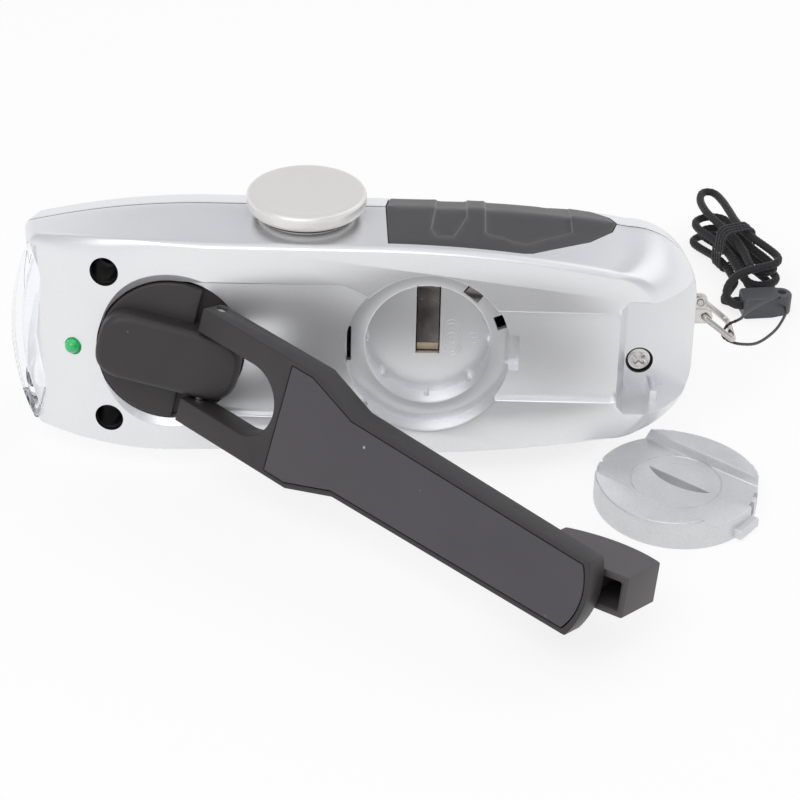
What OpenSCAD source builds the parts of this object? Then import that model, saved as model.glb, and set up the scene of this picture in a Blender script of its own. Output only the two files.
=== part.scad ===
// Hand-crank flashlight standing on its side, crank half unfolded, battery cover and coin cell taken out.
// Torch axes: x runs to the tail, y across the body, z out of the crank face, with the seam at z = 0.

/* [Body] */
// Half the width at the seam
body_half_w = 25.4; // [23:0.1:28]
// Height of the crank face above the seam
face_h = 18; // [17:0.1:19]
// Depth of the switch side below the seam
top_h = 20; // [19:0.1:22]
// Draft of the side walls, which is also the lean of the torch
draft = 8.5; // [6:0.1:10]
// Seam x at the tail
tail_x = 76; // [74:0.1:80]
// Seam x at the front
front_x = -64; // [-66:0.1:-63]
// Wall thickness of both shells
wall = 2; // [1.6:0.1:2.4]
// Half the open line between the shells
seam_gap = 0.12; // [0.05:0.01:0.2]
// How far the face draws in at the tail
tail_slope = 10; // [8:0.1:12]
// Radius of the nose that drops to the lens
nose_r = 36; // [32:0.5:40]
// Clearance between fixed pieces that seat in each other
fit = 0.1; // [0.05:0.01:0.2]

/* [Grips] */
// Thickness of the rubber grips
grip_t = 1.6; // [1.2:0.1:2]
// Front end of the grips
grip_x0 = 11.5; // [9:0.5:14]
// Tip of the grips on the seam
grip_x1 = 58.5; // [56:0.5:61]
// Edge of the grips on the crank side
grip_near = 15.6; // [14:0.1:15.8]
// Edge of the grips on the switch side
grip_far = 12.5; // [10:0.1:14]
// Depth of the sunk panels in the grips
panel_d = 0.5; // [0.3:0.1:0.8]

/* [Crank] */
// Distance from the origin to the crank axis
hub_x = -32.5; // [-33:0.1:-32]
// How far the crank axis sits below the middle line
hub_drop = 0.6; // [0:0.1:1]
// Radius of the crank hub
hub_r = 14.8; // [14.5:0.05:15]
// Running gap round the hub
hub_gap = 0.35; // [0.25:0.05:0.6]
// Depth of the hub's seat below the face
hub_seat = 8; // [7:0.1:8.6]
// Width of the bar across the hub
bar_w = 14.2; // [13:0.1:15]
// Height of the bar above the face
bar_h = 4.6; // [4:0.1:5]
// Distance from the crank axis to the fold pin
fold_r = 8; // [7:0.1:9]
// Height of the fold pin above the face
fold_h = 1.9; // [1.6:0.1:2.4]
// Diameter of the fold pin
pin_d = 2; // [1.6:0.1:2.4]
// Turn of the crank as it lies
crank_turn = 14.2; // [10:0.1:25]
// Lift of the arm as it lies
arm_lift = 36.8; // [32:0.1:45]
// Length of the arm from the fold pin
arm_len = 97.5; // [94:0.5:100]
// Width of the arm at the fork
fork_w = 25.6; // [25:0.1:26]
// Width of the arm past its shoulders
arm_w = 17.6; // [16:0.1:19]
// Width of the arm at its end
arm_end_w = 15.6; // [14:0.1:17.2]
// Thickness of the arm at the fork
arm_t = 6; // [5.6:0.1:6.2]
// Thickness of the arm at its end
arm_end_t = 5.2; // [4.6:0.1:5.6]
// Front face of the arm above the fold pin
arm_top = 3.8; // [3.6:0.1:4]
// Side gap between the fork and the bar
fork_gap = 0.5; // [0.3:0.05:0.8]
// End of the fork's slot
slot_end = 21; // [20.5:0.1:23]
// Thickness of the plate set into the arm
plate_t = 1.5; // [1:0.1:2]
// Rim of the arm round its plate
plate_rim = 1; // [0.8:0.1:1.4]

/* [Knob] */
// Distance from the fold pin to the knob's pin
knob_a = 91.5; // [90:0.5:92]
// Length of the knob
knob_l = 21; // [19:0.5:22]
// Width of the knob
knob_w = 8.2; // [8:0.1:9]
// Height of the knob at its ends
knob_h = 12; // [11:0.1:12.4]
// Rise of the knob's arched back
knob_arch = 2.2; // [1.6:0.1:2.4]
// Wall of the knob
knob_wall = 1.3; // [1:0.1:1.6]
// Turn of the knob on its pin as it lies
knob_turn = 10; // [0:1:20]

/* [Battery well] */
// Distance from the origin to the well's axis
well_x = 20; // [19.5:0.1:20.5]
// Radius of the ring that takes the cover
seat_r = 17; // [16.8:0.1:17.4]
// Depth of the ledge under the cover
seat_d = 5.2; // [5:0.1:5.6]
// Radius of the well
well_r = 12.9; // [12.7:0.1:13.2]
// Depth of the well below the ledge
well_d = 5.6; // [5.4:0.1:5.8]
// Radius of the battery cover
cover_r = 16.7; // [16.4:0.1:16.8]
// Height of the battery cover
cover_h = 7; // [6.5:0.1:7.5]
// Width of the channel across the cover
channel_w = 20; // [18:0.5:21]
// Radius of the coin cell
cell_r = 12.25; // [12:0.05:12.4]
// Thickness of the coin cell
cell_t = 5; // [4.6:0.1:5.4]

/* [Recess] */
// Depth of the recess for the arm
recess_d = 2; // [1.6:0.1:2.2]
// Width of the recess beside the hub
recess_w = 29; // [28:0.1:30]
// Width of the recess at the tail
recess_end_w = 19.4; // [18.6:0.1:21]
// Front wall of the knob pocket
pocket_x = 58.9; // [57:0.1:60]
// Half width of the knob pocket
pocket_w = 12.3; // [12:0.1:13]
// Depth of the knob pocket below the face
pocket_d = 15.4; // [15:0.1:15.8]

/* [Gears] */
// Teeth of each wheel
wheel_z = 42; // [36:1:42]
// Teeth of each pinion
pinion_z = 12; // [12:1:14]
// Module of the first pair
module_1 = 0.75; // [0.7:0.01:0.76]
// Module of the second pair
module_2 = 0.6; // [0.55:0.01:0.62]
// Module of the third pair
module_3 = 0.5; // [0.45:0.01:0.52]
// Thickness of the gears
gear_t = 3; // [2.6:0.1:3.2]
// Diameter of the gear axles
axle_d = 2; // [1.6:0.1:2.4]
// Running gap of a gear on its axle
run_gap = 0.05; // [0.03:0.01:0.09]
// Play between the teeth
backlash = 0.16; // [0.12:0.01:0.22]

/* [Lanyard] */
// Diameter of the braided wrist cord
cord_d = 2; // [1.8:0.1:2.1]
// Diameter of the thin string
string_d = 0.7; // [0.5:0.05:0.9]
// Wire of the bail
bail_d = 1.3; // [1:0.1:1.6]
// Distance between the bail's legs
bail_w = 8; // [7:0.1:9]
// Length of the bail
bail_l = 8; // [7:0.1:9]
// Droop of the bail as it hangs
bail_droop = 38; // [30:1:45]

/* [Hidden] */
$fn = 64;
eps = 0.01;

// Standing pose: the switch side's lower wall lies flat on the floor under the origin
strip_z = -8;
lift = body_half_w * cos(draft);
strip_y = -body_half_w * sin(draft) - strip_z / 2 / cos(draft);

module stand() translate([0, -strip_y, lift]) rotate([90 - draft, 0, 0]) children();

// A point of the torch in standing axes
function stood(p) = [p[0], -strip_y + p[1] * sin(draft) - p[2] * cos(draft),
                     lift + p[1] * cos(draft) + p[2] * sin(draft)];

// Outline of the body at height z, drawn in by an inset
side_x0 = -25;
side_x1 = 25;
front_curve = 154;
nose_flare = 0.9;
tail_curve = 210;
face_tail_curve = 270;
face_side_x1 = 8;
round_z = -strip_z;
crown = 0.085;
crease = 1.6;
function up(z) = max(0, z) / face_h;
function below(z) = max(0, -z - round_z);
function soft(z) = max(0, z - face_h + crease);
function mid_w(z) = body_half_w - abs(z) * tan(draft) - crown * pow(below(z), 2) - pow(soft(z), 2) / 3;
function tail_at(z) = tail_x - tail_slope * pow(up(z), 2) - 0.1 * below(z) - crown * pow(below(z), 2)
                      - pow(soft(z), 2) / 3;
function nose_at(z) = front_x + 26 - sqrt(2 * nose_r * max(0, face_h - z));
function front_at(z) = z > 0 ? max(front_x + 0.2 * z, nose_at(z))
                             : front_x + 0.1 * abs(z) + 0.16 * pow(below(z), 2);
function tail_r(z) = 15 - 6 * up(z) - 0.4 * below(z);
function front_r(z) = z > 0 ? 2 + 9 * pow(up(z), 3) : 2 + 0.6 * below(z);
function curve_x1(z) = side_x1 + (face_side_x1 - side_x1) * up(z);
function curve_r(z) = tail_curve + (face_tail_curve - tail_curve) * up(z);
function half_w(x, z) = mid_w(z) + (x < side_x0 ? nose_flare * max(0, z) * tan(draft) * (side_x0 - x) / 40 : 0)
    - (x < side_x0 ? pow(side_x0 - x, 2) / 2 / front_curve : 0)
    - (x > curve_x1(z) ? pow(x - curve_x1(z), 2) / 2 / curve_r(z) : 0);
function corner(x, y, r, a0, a1) = [for (i = [0:6]) let (a = a0 + (a1 - a0) * i / 6)
                                    [x + r * cos(a), y + r * sin(a)]];
function half_outline(z, inset) =
    let (rt = max(0.5, tail_r(z) - inset), rf = max(0.5, front_r(z) - inset))
    let (xt = tail_at(z) - inset - rt, xf = front_at(z) + inset + rf)
    concat(corner(xt, half_w(xt, z) - inset - rt, rt, 0, 90),
           [for (i = [1:8]) let (x = xt + (xf - xt) * i / 9) [x, half_w(x, z) - inset]],
           corner(xf, half_w(xf, z) - inset - rf, rf, 90, 180));
function mirrored(pts) = [for (i = [len(pts) - 1:-1:0]) [pts[i][0], -pts[i][1]]];
function outline(z, inset) = let (half = half_outline(z, inset)) concat(half, mirrored(half));

module slice(z, inset) translate([0, 0, z]) linear_extrude(eps) polygon(outline(z, inset));

// Convex halves of the body, crank side and switch side, drawn in by an inset
crank_levels = [0, 6, 10, 13, 15, 16.4, 17.3];
switch_levels = [0, 8, 11, 14, 16.5, 18.5];

module crank_half(inset, top)
    hull() {
        for (z = [for (l = crank_levels) if (l < top) l]) slice(z, inset);
        slice(top - eps, inset);
    }

module switch_half(inset, depth)
    hull() {
        for (z = [for (l = switch_levels) if (l < depth) l]) slice(-z - eps, inset);
        slice(-depth, inset);
    }

// Rounds used by the housing
roof_z = face_h - recess_d - wall;
cup_wall = 1.5;
hole_r = hub_r + hub_gap;
seat_floor = face_h - hub_seat;
seat_floor_t = 2;
ledge_z = face_h - seat_d;
well_floor = ledge_z - well_d;
pocket_floor = face_h - pocket_d;
cavity_floor = -top_h + wall;

// Screws: two behind the lens and one in the knob pocket
front_screw_x = -45.5;
front_screw_y = body_half_w - 9.3;
tail_screw = [64.8, -6.7];
screw_spots = [[front_screw_x, front_screw_y], [front_screw_x, -front_screw_y], tail_screw];
head_r = 2.4;
head_hole_r = 2.65;
head_t = 1.8;
shank_r = 1.3;
shank_l = 12;
screw_seat = [3, 3, 0.2];
boss_r = head_hole_r + 1.2;
post_r = 3;

// Lens: an arched visor between the side walls
lens_x = -65.8;
lens_r = 48;
lens_half = body_half_w - 5.4;
lens_inner_half = lens_half - 7.3;
lens_z0 = -11;
lens_z1 = 11.6;
lens_wall = 1.6;
lens_inner_x = -59;
lens_side_x = lens_x + lens_r - sqrt(lens_r * lens_r - lens_half * lens_half);
lens_sag = 1.9;

module lens_plan(inset) {
    intersection() {
        translate([lens_x + lens_r, 0]) circle(r = lens_r - inset, $fn = 200);
        polygon([[lens_x - 1, lens_half - inset], [lens_side_x + inset, lens_half - inset],
                 [lens_inner_x - inset, lens_inner_half - inset / 2],
                 [lens_inner_x - inset - lens_sag, 0],
                 [lens_inner_x - inset, -lens_inner_half + inset / 2],
                 [lens_side_x + inset, -lens_half + inset], [lens_x - 1, -lens_half + inset]]);
    }
}

lens_section = [[lens_half - 1.2, 11.6], [lens_half + 0.3, 0], [lens_half - 1, -8], [lens_half - 2, -11]];

module lens_block(inset, z0, z1) intersection() {
    translate([0, 0, z0]) linear_extrude(z1 - z0) lens_plan(inset);
    translate([lens_x - 5, 0, 0]) rotate([90, 0, 90]) linear_extrude(30)
        polygon(concat([for (p = lens_section) [p[0] - inset, p[1] + (p[1] > 1 ? 2 : p[1] < -9 ? -2 : 0)]],
                       [for (i = [3:-1:0]) let (p = lens_section[i])
                        [-p[0] + inset, p[1] + (p[1] > 1 ? 2 : p[1] < -9 ? -2 : 0)]]));
}

// Opening behind the lens that lets the light out
module light_opening() {
    translate([front_x - 5, -lens_half + 2.2, -9]) cube([18, 2 * lens_half - 4.4, 18]);
}

// Outline of a grip on the side wall, along the torch and up its wall
function grip_outline(grow) = [
    [grip_x0 - grow, -grip_far - grow], [grip_x0 - 0.8 - grow, 0], [grip_x0 - grow, grip_near + grow],
    [grip_x1 - 19, grip_near + grow], [grip_x1 - 6, grip_near - 4 + grow], [grip_x1 - 1.2 + grow, 5.5],
    [grip_x1 + grow, 0], [grip_x1 - 1.2 + grow, -5], [grip_x1 - 6, -grip_far + 3 - grow],
    [grip_x1 - 19, -grip_far - grow]];

module grip_prism(side, grow) {
    y0 = side > 0 ? 10 : -body_half_w - 10;
    translate([0, y0 + body_half_w, 0]) rotate([90, 0, 0]) linear_extrude(body_half_w)
        polygon(grip_outline(grow));
}

module grip_bed() {
    difference() {
        union() {
            grip_prism(1, fit);
            grip_prism(-1, fit);
        }
        children();
    }
}

// Sunk panels of the grip: their outlines along the torch and up the wall
small_panel = [[21, -11], [27, -11], [27.4, 1], [26, 5], [23.5, 7.5], [20.4, 7]];
large_panel = [[30, -11], [48.6, -11], [49, 4.5], [41, 8.5], [29.8, 7.5]];

module panel_prism(side) {
    translate([0, side * body_half_w + 20, 0]) rotate([90, 0, 0]) linear_extrude(40) {
        polygon(small_panel);
        polygon(large_panel);
    }
}

module side_grip(side) {
    intersection() {
        difference() {
            union() {
                crank_half(0, face_h);
                switch_half(0, top_h);
            }
            crank_half(grip_t, face_h - grip_t);
            switch_half(grip_t, top_h - grip_t);
            difference() {
                panel_prism(side);
                crank_half(panel_d, face_h - panel_d);
                switch_half(panel_d, top_h - panel_d);
            }
        }
        grip_prism(side, 0);
    }
}

// Crank side: recess, hub seat, battery well and knob pocket
recess_x1 = well_x - 17;
recess_x2 = well_x - 8;

module recess_cut() {
    translate([0, 0, face_h - recess_d]) linear_extrude(recess_d + 5)
        polygon([[hub_x, -recess_w / 2], [recess_x1, -recess_w / 2], [recess_x2, -recess_end_w / 2],
                 [pocket_x + eps, -recess_end_w / 2], [pocket_x + eps, recess_end_w / 2],
                 [recess_x2, recess_end_w / 2], [recess_x1, recess_w / 2], [hub_x, recess_w / 2]]);
}

rim_bevel = 1;
rim_grow = 1.7;
bush_r = 4.5;

module hub_hole() {
    translate([hub_x, -hub_drop, seat_floor]) cylinder(r = hole_r, h = face_h, $fn = 96);
    translate([hub_x, -hub_drop, face_h - rim_bevel]) cylinder(r1 = hole_r, r2 = hole_r + 2 * rim_grow,
                                                       h = 2 * rim_bevel, $fn = 96);
    translate([hub_x, -hub_drop, 0]) cylinder(r = bush_r, h = face_h);
}

leaf_w = 5;
leaf_y0 = -4.2;
tab_angle = 52;
tab_r = 14.9;
tab_w = 3.8;
tab_l = 2.6;
lug_w = 7.6;
lug_r = 18.6;

module well_hole() {
    translate([well_x, 0, 0]) {
        translate([0, 0, ledge_z]) cylinder(r = seat_r, h = face_h, $fn = 96);
        translate([0, 0, well_floor]) cylinder(r = well_r, h = face_h, $fn = 96);
        translate([-leaf_w / 2, leaf_y0, 0]) cube([leaf_w, well_r - leaf_y0, ledge_z + 1]);
        rotate([0, 0, tab_angle]) translate([tab_r - tab_l / 2, -tab_w / 2, well_floor + 1])
            cube([tab_l, tab_w, ledge_z]);
        translate([seat_r - 1, -lug_w / 2, ledge_z]) cube([lug_r - seat_r + 1, lug_w, face_h]);
        for (a = [0, 180]) rotate([0, 0, a]) translate([seat_r - 1.2, -lug_w / 2, ledge_z - 1])
            cube([0.9, lug_w, 3]);
        rotate([0, 0, 20]) translate([seat_r - 2.4, -1.5, ledge_z - 1]) cube([2, 3, 3]);
    }
}

// Small ribs that centre the cell in its well
rib_r = 0.55;

module well_ribs() {
    for (a = [-4, 143, 182, 224, 270, 314])
        translate([well_x + (well_r - 0.1) * cos(a), (well_r - 0.1) * sin(a), well_floor - 0.5])
            cylinder(r = rib_r, h = 3);
}

module pocket_cut() {
    translate([0, 0, pocket_floor]) linear_extrude(face_h)
        polygon([[pocket_x + 1.6, -pocket_w], [pocket_x, -pocket_w + 1.6], [pocket_x, pocket_w - 1.6],
                 [pocket_x + 1.6, pocket_w], [tail_x + 5, pocket_w], [tail_x + 5, -pocket_w]]);
}

module pocket_rib() translate([66.4, -pocket_w - 1, pocket_floor - 1]) cube([1.4, 3.6, 10]);

led_x = -52.8;
led_y = -1;
led_r = 1.5;
button_x = 42;
button_y = 0;
button_l = 15;
button_w = 9;

module cups() {
    translate([hub_x, -hub_drop, seat_floor - seat_floor_t]) cylinder(r = hole_r + cup_wall, h = face_h);
    translate([well_x, 0, ledge_z - cup_wall]) cylinder(r = seat_r + cup_wall, h = face_h);
    translate([well_x, 0, well_floor - cup_wall]) cylinder(r = well_r + cup_wall, h = face_h);
    translate([pocket_x - cup_wall, -pocket_w - cup_wall, pocket_floor - cup_wall])
        cube([tail_x, 2 * pocket_w + 2 * cup_wall, face_h]);
    for (i = [0:2]) translate([screw_spots[i][0], screw_spots[i][1], screw_seat[i] - cup_wall])
        cylinder(r = boss_r, h = face_h);
    translate([led_x, led_y, face_h - 8]) cylinder(r = led_r + 1.2, h = 8);
}

module screw_holes() {
    for (i = [0:2]) translate([screw_spots[i][0], screw_spots[i][1], screw_seat[i]]) {
        cylinder(r = head_hole_r, h = face_h + 5);
        translate([0, 0, -6]) cylinder(r = shank_r + 0.2, h = 10);
    }
}

lug_y = 3.2;
lug_z = -3;
lug_t = 1.6;
bail_x = tail_x + 2;

module lug_slots(side) {
    translate([tail_x - 3, lug_y - 1.7, lug_z + side * bail_w / 2 - lug_t / 2 - fit])
        cube([8, 3.4, lug_t + 2 * fit]);
}

module seam_slab() translate([front_x - 20, -2 * body_half_w, -seam_gap])
    cube([tail_x - front_x + 40, 4 * body_half_w, 2 * seam_gap]);

module bottom_shell() color("silver") stand() {
    difference() {
        crank_half(0, face_h);
        seam_slab();
        difference() {
            translate([0, 0, -eps]) crank_half(wall, roof_z);
            cups();
        }
        recess_cut();
        hub_hole();
        difference() {
            well_hole();
            well_ribs();
        }
        difference() {
            pocket_cut();
            pocket_rib();
        }
        screw_holes();
        translate([led_x, led_y, 0]) cylinder(r = led_r + 0.15, h = face_h + 5);
        lens_block(-fit, lens_z0, lens_z1 + fit);
        light_opening();
        grip_bed() crank_half(grip_t + fit, face_h - grip_t);
        lug_slots(1);
    }
}

// Switch side: posts for the screws, the gear plate and the board
plate_z = -15.5;
plate_thick = 1.5;
board_z = -8;
board_t = 1.6;
plate_posts = [[-46, 9], [-46, -9], [22, 13], [22, -13]];
board_posts = [[30, 13], [30, -13], [66, 0]];

module posts() {
    for (i = [0:2]) translate([screw_spots[i][0], screw_spots[i][1], -top_h])
        cylinder(r = post_r, h = top_h + screw_seat[i] - cup_wall - fit);
    for (p = plate_posts) translate([p[0], p[1], -top_h]) cylinder(r = 2.5, h = top_h + plate_z - 0.02);
    for (p = board_posts) translate([p[0], p[1], -top_h]) cylinder(r = 2.5, h = top_h + board_z - 0.02);
}

module button_plan(grow) {
    r = button_w / 2 + grow;
    square([button_l - button_w, 2 * r], center = true);
    for (s = [-1, 1]) translate([s * (button_l - button_w) / 2, 0]) circle(r = r);
}

module top_shell() color("silver") stand() {
    difference() {
        switch_half(0, top_h);
        seam_slab();
        difference() {
            translate([0, 0, 2 * eps]) switch_half(wall, top_h - wall);
            posts();
        }
        for (i = [0:2]) translate([screw_spots[i][0], screw_spots[i][1], screw_seat[i] - shank_l])
            cylinder(r = shank_r + 0.02, h = shank_l + 5);
        translate([button_x, button_y, -top_h - 2]) linear_extrude(6) button_plan(0.35);
        lens_block(-fit, lens_z0 - fit, 1);
        light_opening();
        grip_bed() switch_half(grip_t + fit, top_h - grip_t);
        lug_slots(-1);
    }
}

module upper_grip() color("dimgray") stand() side_grip(1);
module lower_grip() color("dimgray") stand() side_grip(-1);

// Lens, reflector and lamps
module front_lens() color("white", 0.35) stand() {
    difference() {
        lens_block(0, lens_z0, lens_z1);
        translate([lens_wall, 0, 0]) lens_block(0.4, lens_z0 + lens_wall, lens_z1 - lens_wall);
        translate([lens_x + 6, -lens_half - 1, lens_z0 + lens_wall])
            cube([10, 2 * lens_half + 2, lens_z1 - lens_z0 - 2 * lens_wall]);
    }
}

lamp_y = 8.6;
cup_r = 7.6;
cup_x = -59.4;
cup_depth = 8;
reflector_half_z = 8.8;
reflector_half_y = lens_half - 2.5;
bulb_r = 2.5;
board_x = cup_x + cup_depth;
led_board_t = 1;

module lamp_spots() for (s = [-1, 1]) translate([board_x, s * lamp_y, 0]) rotate([0, -90, 0]) children();

module reflector() color("gainsboro") stand() {
    difference() {
        translate([cup_x, -reflector_half_y, -reflector_half_z])
            cube([cup_depth - 0.05, 2 * reflector_half_y, 2 * reflector_half_z]);
        lamp_spots() rotate_extrude()
            polygon(concat([[0, -1]], [[bulb_r + 0.3, -1], [bulb_r + 0.3, 1.6]],
                           [for (i = [1:6]) let (t = i / 6) [bulb_r + 0.3 + (cup_r - bulb_r - 0.3) * sqrt(t),
                                                            1.6 + (cup_depth - 1.6) * t]],
                           [[cup_r, cup_depth + 1], [0, cup_depth + 1]]));
    }
}

module main_leds() color("lightyellow") stand() lamp_spots() {
    translate([0, 0, 0.02]) cylinder(r = bulb_r + 0.2, h = 1.2);
    translate([0, 0, 1.2]) cylinder(r = bulb_r, h = 1.8);
    intersection() {
        translate([0, 0, 3]) sphere(r = bulb_r);
        translate([0, 0, 2.5]) cylinder(r = bulb_r, h = 4);
    }
}

module led_board() color("darkgreen") stand()
    translate([board_x, -reflector_half_y, -reflector_half_z])
        cube([led_board_t, 2 * reflector_half_y, 2 * reflector_half_z]);

led_top = nose_drop(led_x);
function nose_drop(x) = face_h - pow(front_x + 26 - x, 2) / 2 / nose_r;

module charge_led() color("limegreen") stand() translate([led_x, led_y, 0]) {
    translate([0, 0, led_top - 4]) cylinder(r = led_r, h = 4.2);
    intersection() {
        translate([0, 0, led_top + 0.2]) sphere(r = led_r);
        translate([0, 0, led_top]) cylinder(r = led_r, h = 3);
    }
}

module case_screws() color("silver") stand()
    for (i = [0:2]) translate([screw_spots[i][0], screw_spots[i][1], screw_seat[i]]) {
        difference() {
            translate([0, 0, 0.02]) cylinder(r = head_r, h = head_t);
            for (a = [45, 135]) rotate([0, 0, a]) translate([-1.4, -0.35, head_t - 0.8]) cube([2.8, 0.7, 2]);
        }
        translate([0, 0, -shank_l + 0.5]) cylinder(r = shank_r, h = shank_l);
    }

// Electronics
module circuit_board() color("darkgreen") stand() difference() {
    translate([26, -16, board_z]) cube([43, 32, board_t]);
    translate([tail_screw[0], tail_screw[1], board_z - 1]) cylinder(r = post_r + 0.4, h = board_t + 2);
}

module board_parts() color("black") stand() translate([0, 0, board_z + board_t + 0.02]) {
    translate([30, 5, 0]) cylinder(r = 3, h = 5);
    translate([48, -12, 0]) cube([6, 5, 1.6]);
    translate([57, 4, 0]) cube([4, 3, 1.6]);
    translate([57, -5, 0]) cube([4, 3, 1.6]);
    translate([36, -12, 0]) cylinder(r = 2, h = 4);
}

switch_h = 4;
button_travel = 1.2;
button_proud = 1.4;
stem_z = board_z - switch_h;

module switch_body() color("darkslategray") stand() translate([button_x, button_y, 0]) {
    translate([-4, -4, stem_z]) cube([8, 8, switch_h - 0.02]);
    translate([0, 0, stem_z - 1]) cylinder(r = 1.6, h = 1);
}

module switch_button() color("dimgray") stand() translate([button_x, button_y, 0]) {
    translate([0, 0, -top_h - button_proud]) linear_extrude(wall + button_proud + 0.6) button_plan(0);
    translate([0, 0, -top_h + wall + 0.6 - eps]) cylinder(r = 1.6,
        h = stem_z - 1 - button_travel - 0.1 + top_h - wall - 0.6);
}

// Generator: plate, axles and stator
function polar(p, r, a) = [p[0] + r * cos(a), p[1] + r * sin(a)];
turn_1 = 20;
turn_2 = -45;
turn_3 = 10;
function spacing(m) = m * (wheel_z + pinion_z) / 2;
axis_0 = [hub_x, -hub_drop];
axis_1 = polar(axis_0, spacing(module_1), turn_1);
axis_2 = polar(axis_1, spacing(module_2), turn_2);
axis_3 = polar(axis_2, spacing(module_3), turn_3);
level_1 = 1.9;
level_2 = -2;
level_3 = -6;
axle_top = 5.6;
plate_boss_r = 3;
coil_w = 1.6;
core_w = 1.9;
magnet_t = 5;
magnet_z = plate_z + plate_thick + 0.6;
stator_r1 = spacing(module_3) - plate_boss_r - 0.5 - coil_w;
stator_r0 = stator_r1 - core_w;
magnet_r = stator_r0 - 0.5;

module at(p) translate([p[0], p[1], 0]) children();

module gear_plate() color("lightgray") stand() {
    difference() {
        union() {
            translate([-48, -15, plate_z]) cube([72, 30, plate_thick]);
            for (p = [axis_1, axis_2]) at(p) translate([0, 0, plate_z])
                cylinder(r = plate_boss_r, h = plate_thick + 1.5);
        }
        for (p = [axis_1, axis_2, axis_3]) at(p) translate([0, 0, plate_z - 1])
            cylinder(d = axle_d + 0.02, h = 10);
        for (s = [-1, 1]) translate([front_screw_x, s * front_screw_y, plate_z - 1])
            cylinder(r = post_r + 0.4, h = 5);
    }
}

module gear_axles() color("gainsboro") stand()
    for (p = [axis_1, axis_2, axis_3]) at(p) translate([0, 0, plate_z])
        cylinder(d = axle_d, h = p == axis_3 ? level_3 + gear_t + 1 - plate_z : axle_top - plate_z);

module stator_core() color("slategray") stand() at(axis_3)
    translate([0, 0, plate_z + plate_thick + 0.02]) rotate_extrude()
        polygon([[stator_r0, 0], [stator_r1, 0], [stator_r1, magnet_t + 1], [stator_r0, magnet_t + 1]]);

module stator_coil() color("peru") stand() at(axis_3)
    translate([0, 0, plate_z + plate_thick + 0.02]) rotate_extrude()
        polygon([[stator_r1 + 0.05, 0.5], [stator_r1 + coil_w, 0.5], [stator_r1 + coil_w, magnet_t],
                 [stator_r1 + 0.05, magnet_t]]);

module shaft_bush() color("goldenrod") stand() translate([hub_x, -hub_drop, seat_floor - seat_floor_t])
    difference() {
        cylinder(r = bush_r - 0.02, h = seat_floor_t);
        translate([0, 0, -1]) cylinder(r = shaft_r + run_gap, h = 5);
    }

// Contacts of the coin cell
contact_t = 0.4;

module cell_leaf() color("gainsboro") stand() translate([well_x, 0, 0])
    translate([leaf_w / 2 - 0.25, 0, 0]) rotate([0, -90, 0]) linear_extrude(leaf_w - 0.5)
        polygon([[well_floor - cup_wall, leaf_y0 + 0.2], [well_floor + 0.3, leaf_y0 + 0.2 + 2.2],
                 [well_floor - 0.6, well_r - 2.6], [ledge_z - 1, well_r - 0.6], [ledge_z - 1, well_r - 0.2],
                 [well_floor - 0.6 - contact_t, well_r - 2.2],
                 [well_floor + 0.3 - contact_t, leaf_y0 + 2.2 + contact_t],
                 [well_floor - cup_wall, leaf_y0 + 0.2 + contact_t]]);

module cell_tab() color("gainsboro") stand() translate([well_x, 0, 0]) rotate([0, 0, tab_angle])
    translate([tab_r - tab_l / 2 + fit, -tab_w / 2 + 0.2, well_floor + 1 + fit]) {
        cube([tab_l - 2 * fit, tab_w - 0.4, contact_t]);
        translate([tab_l - 2 * fit - contact_t, 0, 0]) cube([contact_t, tab_w - 0.4, ledge_z - well_floor - 1]);
        translate([0, 0, ledge_z - well_floor - 1.2]) cube([tab_l - 2 * fit, tab_w - 0.4, contact_t]);
    }

// Lanyard fittings on the tail
eye_gap = 0.06;

module lanyard_lugs() color("gainsboro") stand()
    for (s = [-1, 1]) translate([0, lug_y, lug_z + s * bail_w / 2 - lug_t / 2]) difference() {
        union() {
            translate([bail_x, 0, 0]) cylinder(r = 1.6, h = lug_t);
            translate([tail_x - 2.8, -1.6, 0]) cube([bail_x - tail_x + 2.8, 3.2, lug_t]);
        }
        translate([bail_x, 0, -1]) cylinder(d = bail_d + 2 * eye_gap, h = lug_t + 2);
    }

module bail_frame() translate([bail_x, lug_y, lug_z]) rotate([0, 0, -bail_droop]) children();

module lanyard_bail() color("gainsboro") stand() bail_frame() {
    leg = bail_w / 2 + lug_t / 2 + 0.9;
    bend = 1.4;
    for (s = [-1, 1]) {
        translate([0, 0, s > 0 ? bail_w / 2 - lug_t / 2 - 0.1 : -leg]) cylinder(d = bail_d, h = leg - bail_w / 2 + lug_t / 2 + 0.1);
        translate([0, 0, s * leg]) sphere(d = bail_d);
        translate([0, 0, s * leg]) rotate([0, 90, 0]) cylinder(d = bail_d, h = bail_l - bend);
        translate([bail_l - bend, 0, s * (leg - bend)]) rotate([90, 0, 0])
            rotate([0, 0, s > 0 ? 0 : -90]) rotate_extrude(angle = 90) translate([bend, 0]) circle(d = bail_d);
    }
    translate([bail_l, 0, -leg + bend]) cylinder(d = bail_d, h = 2 * (leg - bend));
}

// Crank: hub, shaft, first wheel and clip
shaft_r = 3;
shaft_top = seat_floor + 4;
clip_t = 0.8;
hub_z0 = seat_floor + 0.3;
segment_top = face_h - 0.4;
fold_z = face_h + fold_h;
tine_x = 1.8;
tip_r = norm([tine_x, arm_top]);
slot_floor = fold_z - tip_r - 0.3;
bar_corner = 5;
bar_crown = 40;

module on_crank() stand() translate([hub_x, -hub_drop, 0]) rotate([0, 0, -crank_turn]) children();

module bar_plan() {
    square([2 * hub_r - 2 * bar_corner, bar_w], center = true);
    square([2 * hub_r, bar_w - 2 * bar_corner], center = true);
    for (x = [-1, 1], y = [-1, 1])
        translate([x * (hub_r - bar_corner), y * (bar_w / 2 - bar_corner)]) circle(r = bar_corner);
}

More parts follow.
